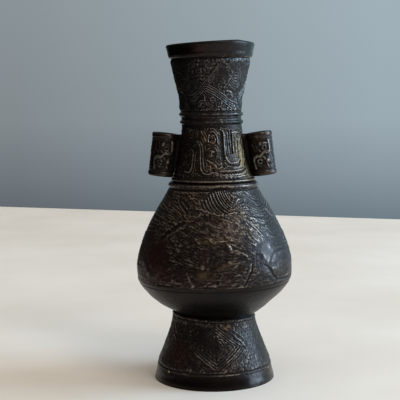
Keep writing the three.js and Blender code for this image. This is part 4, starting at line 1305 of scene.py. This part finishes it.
# The tube's outside stands straight up, its rims are rounded, and its bore is the inside.
def makeEar(name, node, side):
    half, bore = ear["length"] / 2, ear["bore"]
    outer = smoothCurve([[ear["radius"], -half], [ear["radius"], half]], ear["rowStep"])
    strip = newStrip(outer, ear["columns"], 1)
    carveEar(strip)
    inner = np.array(
        [
            [8.2, half + 0.02], [7.7, half + 0.05], [6.9, half], [bore, half - 0.6], [bore, 7], [bore, 0],
            [bore, -7], [bore, 0.6 - half], [6.9, -half], [7.7, -half],
        ]
    )
    step = ear["rowStep"]
    noise = lambda size, strength: strength * softNoise(*strip["raised"].shape, size / step, size / step)
    relief = (strip["raised"] - strip["cut"]) * (ear["sharpness"] + noise(*ear["blur"]))
    relief += sum(noise(*part) for part in ear["skin"])
    relief *= 1 - spotLayer(outer, ear["columns"], ear["spots"]["worn"])
    ends = fadedEnds(len(outer), 2)
    grid = turnedGrid(outer, inner, (relief + strip["moulding"]) * ends)
    patina = patinaOf(outer, inner, relief * ends, ear["spots"], ear["contrast"])
    dressPiece(gridPiece(name, grid, patina, seatEar(side)), carvedBronze, node)


# The webs that join the tubes to the collar: a rounded bar's section, a square with the power of four for its
# corners, carried from the collar's face into the tube's wall and closed at both ends.
def makeWeb(name, node, side):
    turn = np.radians(np.linspace(0, 360, 49)[:-1])
    power = lambda v: np.sign(v) * np.abs(v) ** 0.5
    up = power(np.sin(turn)) * ear["webHeight"] / 2
    height, width = ear["middle"] + up, power(np.cos(turn)) * ear["webWidth"] / 2
    tube = ear["offset"] - up * np.tan(np.radians(ear["tilt"])) - ear["bore"] - 0.9
    share = np.array([0, 0, 0.08, 0.3, 0.5, 0.7, 0.92, 1, 1])[:, None]
    swell = np.array([0, 1.05, 1.02, 0.94, 0.9, 0.94, 1.02, 1.05, 0])[:, None]  # narrower in the middle
    x = np.sqrt(collarRadius(height) ** 2 - width**2) + 0.02
    x = x + (tube - x) * share
    grid = np.stack([x, width * swell, ear["middle"] + up * np.where(swell > 0, 1, 0)], axis=-1)
    grid[[0, -1]] = grid[[0, -1]].mean(axis=1, keepdims=True)
    index = np.arange(grid[..., 0].size).reshape(grid.shape[:2])
    beside = np.roll(index, -1, axis=1)
    faces = np.stack([index[:-1], index[1:], beside[1:], beside[:-1]], axis=-1).reshape(-1, 4)
    points = grid.reshape(-1, 3) * [side, side, 1]
    piece = newPiece(name, points, faces, {"wear": np.full(len(points), wearing["hidden"])})
    dressPiece(piece, smoothBronze, node)


for name, node, side in (("leftEar", "left_ear", -1), ("rightEar", "right_ear", 1)):
    makeEar(name, node, side)
for name, node, side in (("leftEarWeb", "left_ear", -1), ("rightEarWeb", "right_ear", 1)):
    makeWeb(name, node, side)
print("ears joined to the collar")


# Base plate: a disc let into the foot, its rim eased over.
basePlate = {"columns": 240, "radius": 34.4, "low": 7.0, "high": 10.4, "edge": 0.3}


# A short upright rim for the outside, closed by rows of rings that run to the middle on both faces.
def makeBasePlate():
    radius, low, high, edge = [basePlate[part] for part in ("radius", "low", "high", "edge")]
    outer = smoothCurve([[radius, low + edge], [radius, high - edge]], 0.7)
    top = np.column_stack([np.linspace(radius - edge, 0.4, 14), np.full(14, high)])
    bottom = np.column_stack([np.linspace(0.4, radius - edge, 24), np.full(24, low)])
    inner = np.vstack([top, [[0.0, high], [0.0, low]], bottom])
    strip = newStrip(outer, basePlate["columns"], 1)
    casting("basePlate", "base_plate", strip, outer, inner, smoothBronze, {}, 0.02)


makeBasePlate()

for name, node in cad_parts.items():
    if "rivet" in name or "pin" in name:
        node.data.materials.clear()
        node.data.materials.append(rubbedBronze)
print("fasteners finished")


# Stage

stage = {
    "cloth": "#dcd4ca",
    "clothShade": "#d4cbbf",
    "near": -1.2,
    "far": 0.9,
    "left": -0.36,
    "right": 1.6,
    "turn": 0.36,  # how much nearer the floor's far edge is on the right, for each metre across
}


# One flat face with four corners, and a soft noise between its two shades.
def makeFloor():
    near, far, left, right, turn = [stage[part] for part in ("near", "far", "left", "right", "turn")]
    farRight, farLeft = far - turn * right, far - turn * left
    corners = [[left, near, 0], [right, near, 0], [right, farRight, 0], [left, farLeft, 0]]
    mesh = bpy.data.meshes.new("floor")
    mesh.from_pydata(corners, [], [[0, 1, 2, 3]])
    material, tree = newMaterial("paleCloth")
    place = addNode(tree, "ShaderNodeTexCoord").outputs["Object"]
    soft = addNode(tree, "ShaderNodeTexNoise", {"Vector": place, "Scale": 7.0, "Detail": 3.0}).outputs["Fac"]
    colour = addNode(
        tree, "ShaderNodeValToRGB", {"Fac": soft}, stops=[(0.35, stage["clothShade"]), (0.65, stage["cloth"])]
    ).outputs["Color"]
    shader = addNode(
        tree, "ShaderNodeBsdfPrincipled", {"Base Color": colour, "Roughness": 0.9, "Specular IOR Level": 0.1}
    )
    addNode(tree, "ShaderNodeOutputMaterial", {"Surface": shader.outputs[0]})
    mesh.materials.append(material)
    floor = newObject("floor", mesh)


makeFloor()


# The room: the wall's grey for the camera and in reflections, dark to the left with a ceiling over it, and
# for everything else a light of its own that is brightest above and to the right. A fade goes from 0 to 1
# between two values of the direction's X, Y or Z, each of which runs from -1 to 1.
room = {
    "light": "#fbf8f2",
    "shade": "#4c4a46",
    "dark": "#0f0f0e",
    "front": "#38342f",
    "wallLeft": [(0.0, "#5b6267"), (0.2, "#70777c"), (0.45, "#81898d"), (1.0, "#8a9397")],
    "wallRight": [(0.0, "#6f7e87"), (0.2, "#8896a0"), (0.45, "#9babb3"), (1.0, "#a1b1b9")],
    "windowSide": "#b2d4e6",
    "ceiling": "#a0968a",
    "fades": {
        "up": ("Z", -0.125, 0.08),
        "across": ("X", -0.17, 0.17),
        "toDark": ("X", -0.22, -0.5),
        "toWindow": ("X", 0.25, 0.7),
        "acrossFront": ("X", -0.6, 0.3),
        "toFront": ("Y", 0.3, -0.5),
        "toCeiling": ("Z", 0.25, 0.75),
        "ceilingLeft": ("X", 0.6, 0.0),
        "lightUp": ("Z", -0.1, 0.55),
        "lightRight": ("X", -1.1, 0.1),
    },
}


# Colours are mixed one over the other by the fades, and the kind of ray picks the picture or the light.
def makeRoom():
    world = bpy.data.worlds.new("room")
    bpy.context.scene.world = world
    world.use_nodes = True
    tree = world.node_tree
    tree.nodes.clear()
    direction = addNode(tree, "ShaderNodeTexCoord").outputs["Generated"]
    parts = addNode(tree, "ShaderNodeSeparateXYZ", {0: direction})
    fade = {
        name: addNode(
            tree, "ShaderNodeMapRange", {"Value": parts.outputs[part], "From Min": low, "From Max": high}
        ).outputs[0]
        for name, (part, low, high) in room["fades"].items()
    }
    fade["overhead"], fade["bright"] = [
        addNode(tree, "ShaderNodeMath", {0: fade[first], 1: fade[second]}, operation="MULTIPLY").outputs[0]
        for first, second in (("toCeiling", "ceilingLeft"), ("lightUp", "lightRight"))
    ]
    plain = ("light", "shade", "dark", "front", "windowSide", "ceiling")
    shade = {name: toLinear(room[name]) for name in plain}
    for wallSide in ("wallLeft", "wallRight"):
        shade[wallSide] = addNode(
            tree, "ShaderNodeValToRGB", {"Fac": fade["up"]}, stops=room[wallSide]
        ).outputs["Color"]
    # each one is the second colour laid over the first
    mixes = (
        ("wall", "across", "wallLeft", "wallRight"),
        ("wall", "toDark", "wall", "dark"),
        ("wall", "toWindow", "wall", "windowSide"),
        ("frontWall", "acrossFront", "dark", "front"),
        ("wall", "toFront", "wall", "frontWall"),
        ("wall", "overhead", "wall", "ceiling"),
        ("lit", "bright", "shade", "light"),
    )
    for name, share, first, second in mixes:
        shade[name] = addNode(
            tree, "ShaderNodeMix", {0: fade[share], 6: shade[first], 7: shade[second]}, data_type="RGBA"
        ).outputs[2]
    path = addNode(tree, "ShaderNodeLightPath").outputs
    seen = path["Is Camera Ray"]
    for ray in ("Is Glossy Ray", "Is Transmission Ray"):
        seen = addNode(tree, "ShaderNodeMath", {0: seen, 1: path[ray]}, operation="MAXIMUM").outputs[0]
    light, picture = [
        addNode(tree, "ShaderNodeBackground", {"Color": shade[name], "Strength": 1.0}).outputs[0]
        for name in ("lit", "wall")
    ]
    mixed = addNode(tree, "ShaderNodeMixShader", {0: seen, 1: light, 2: picture})
    addNode(tree, "ShaderNodeOutputWorld", {"Surface": mixed.outputs[0]})


makeRoom()


# Soft lamps: a tall cool one to the right, and a smaller warm one above and in front. Both face the vase.
lamps = {
    "window": {"place": (1.73, -0.03, 0.7), "size": (1.12, 1.42), "power": 48.0, "colour": "#bcdfff"},
    "above": {"place": (1.12, -1.5, 1.83), "size": (0.75, 0.75), "power": 16.0, "colour": "#f6efe4"},
}


# Each lamp is turned so that its own -Z runs to the target.
def makeLamps():
    target = Vector((0, 0, 0.1))
    for name, lamp in lamps.items():
        light = bpy.data.lights.new(name, "AREA")
        light.shape = "RECTANGLE"
        light.size, light.size_y = lamp["size"]
        light.energy = lamp["power"]
        light.color = toLinear(lamp["colour"])[:3]
        holder = newObject(name, light)
        holder.location = lamp["place"]
        holder.rotation_euler = (target - Vector(lamp["place"])).to_track_quat("-Z", "Y").to_euler()


makeLamps()


# The camera looks a little down on the vase and is turned slightly, so the vase leans a little to the left.
camera = {"place": (-8.96, -685.74, 191.95), "down": 6.18, "turn": 0.05, "roll": -0.645, "lens": 94.5}


# The view's own axes: forward from the turn and the look down, then right and up, rolled about it.
def makeCamera():
    down, turn, roll = np.radians([camera["down"], camera["turn"], camera["roll"]])
    forward = np.array([np.sin(turn) * np.cos(down), np.cos(turn) * np.cos(down), -np.sin(down)])
    level = np.array([np.cos(turn), -np.sin(turn), 0])
    upright = np.cross(level, forward)
    right = level * np.cos(roll) + upright * np.sin(roll)
    top = upright * np.cos(roll) - level * np.sin(roll)
    data = bpy.data.cameras.new("camera")
    data.sensor_width = 36.0
    data.lens = camera["lens"]
    data.clip_start = 0.01
    holder = newObject("camera", data)
    axes = np.column_stack([right, top, -forward, np.array(camera["place"]) * millimetre])
    holder.matrix_world = Matrix([*axes.tolist(), [0, 0, 0, 1]])
    bpy.context.scene.camera = holder


makeCamera()
bpy.context.scene.view_settings.view_transform = "Standard"
print("stage, lamps and camera made")
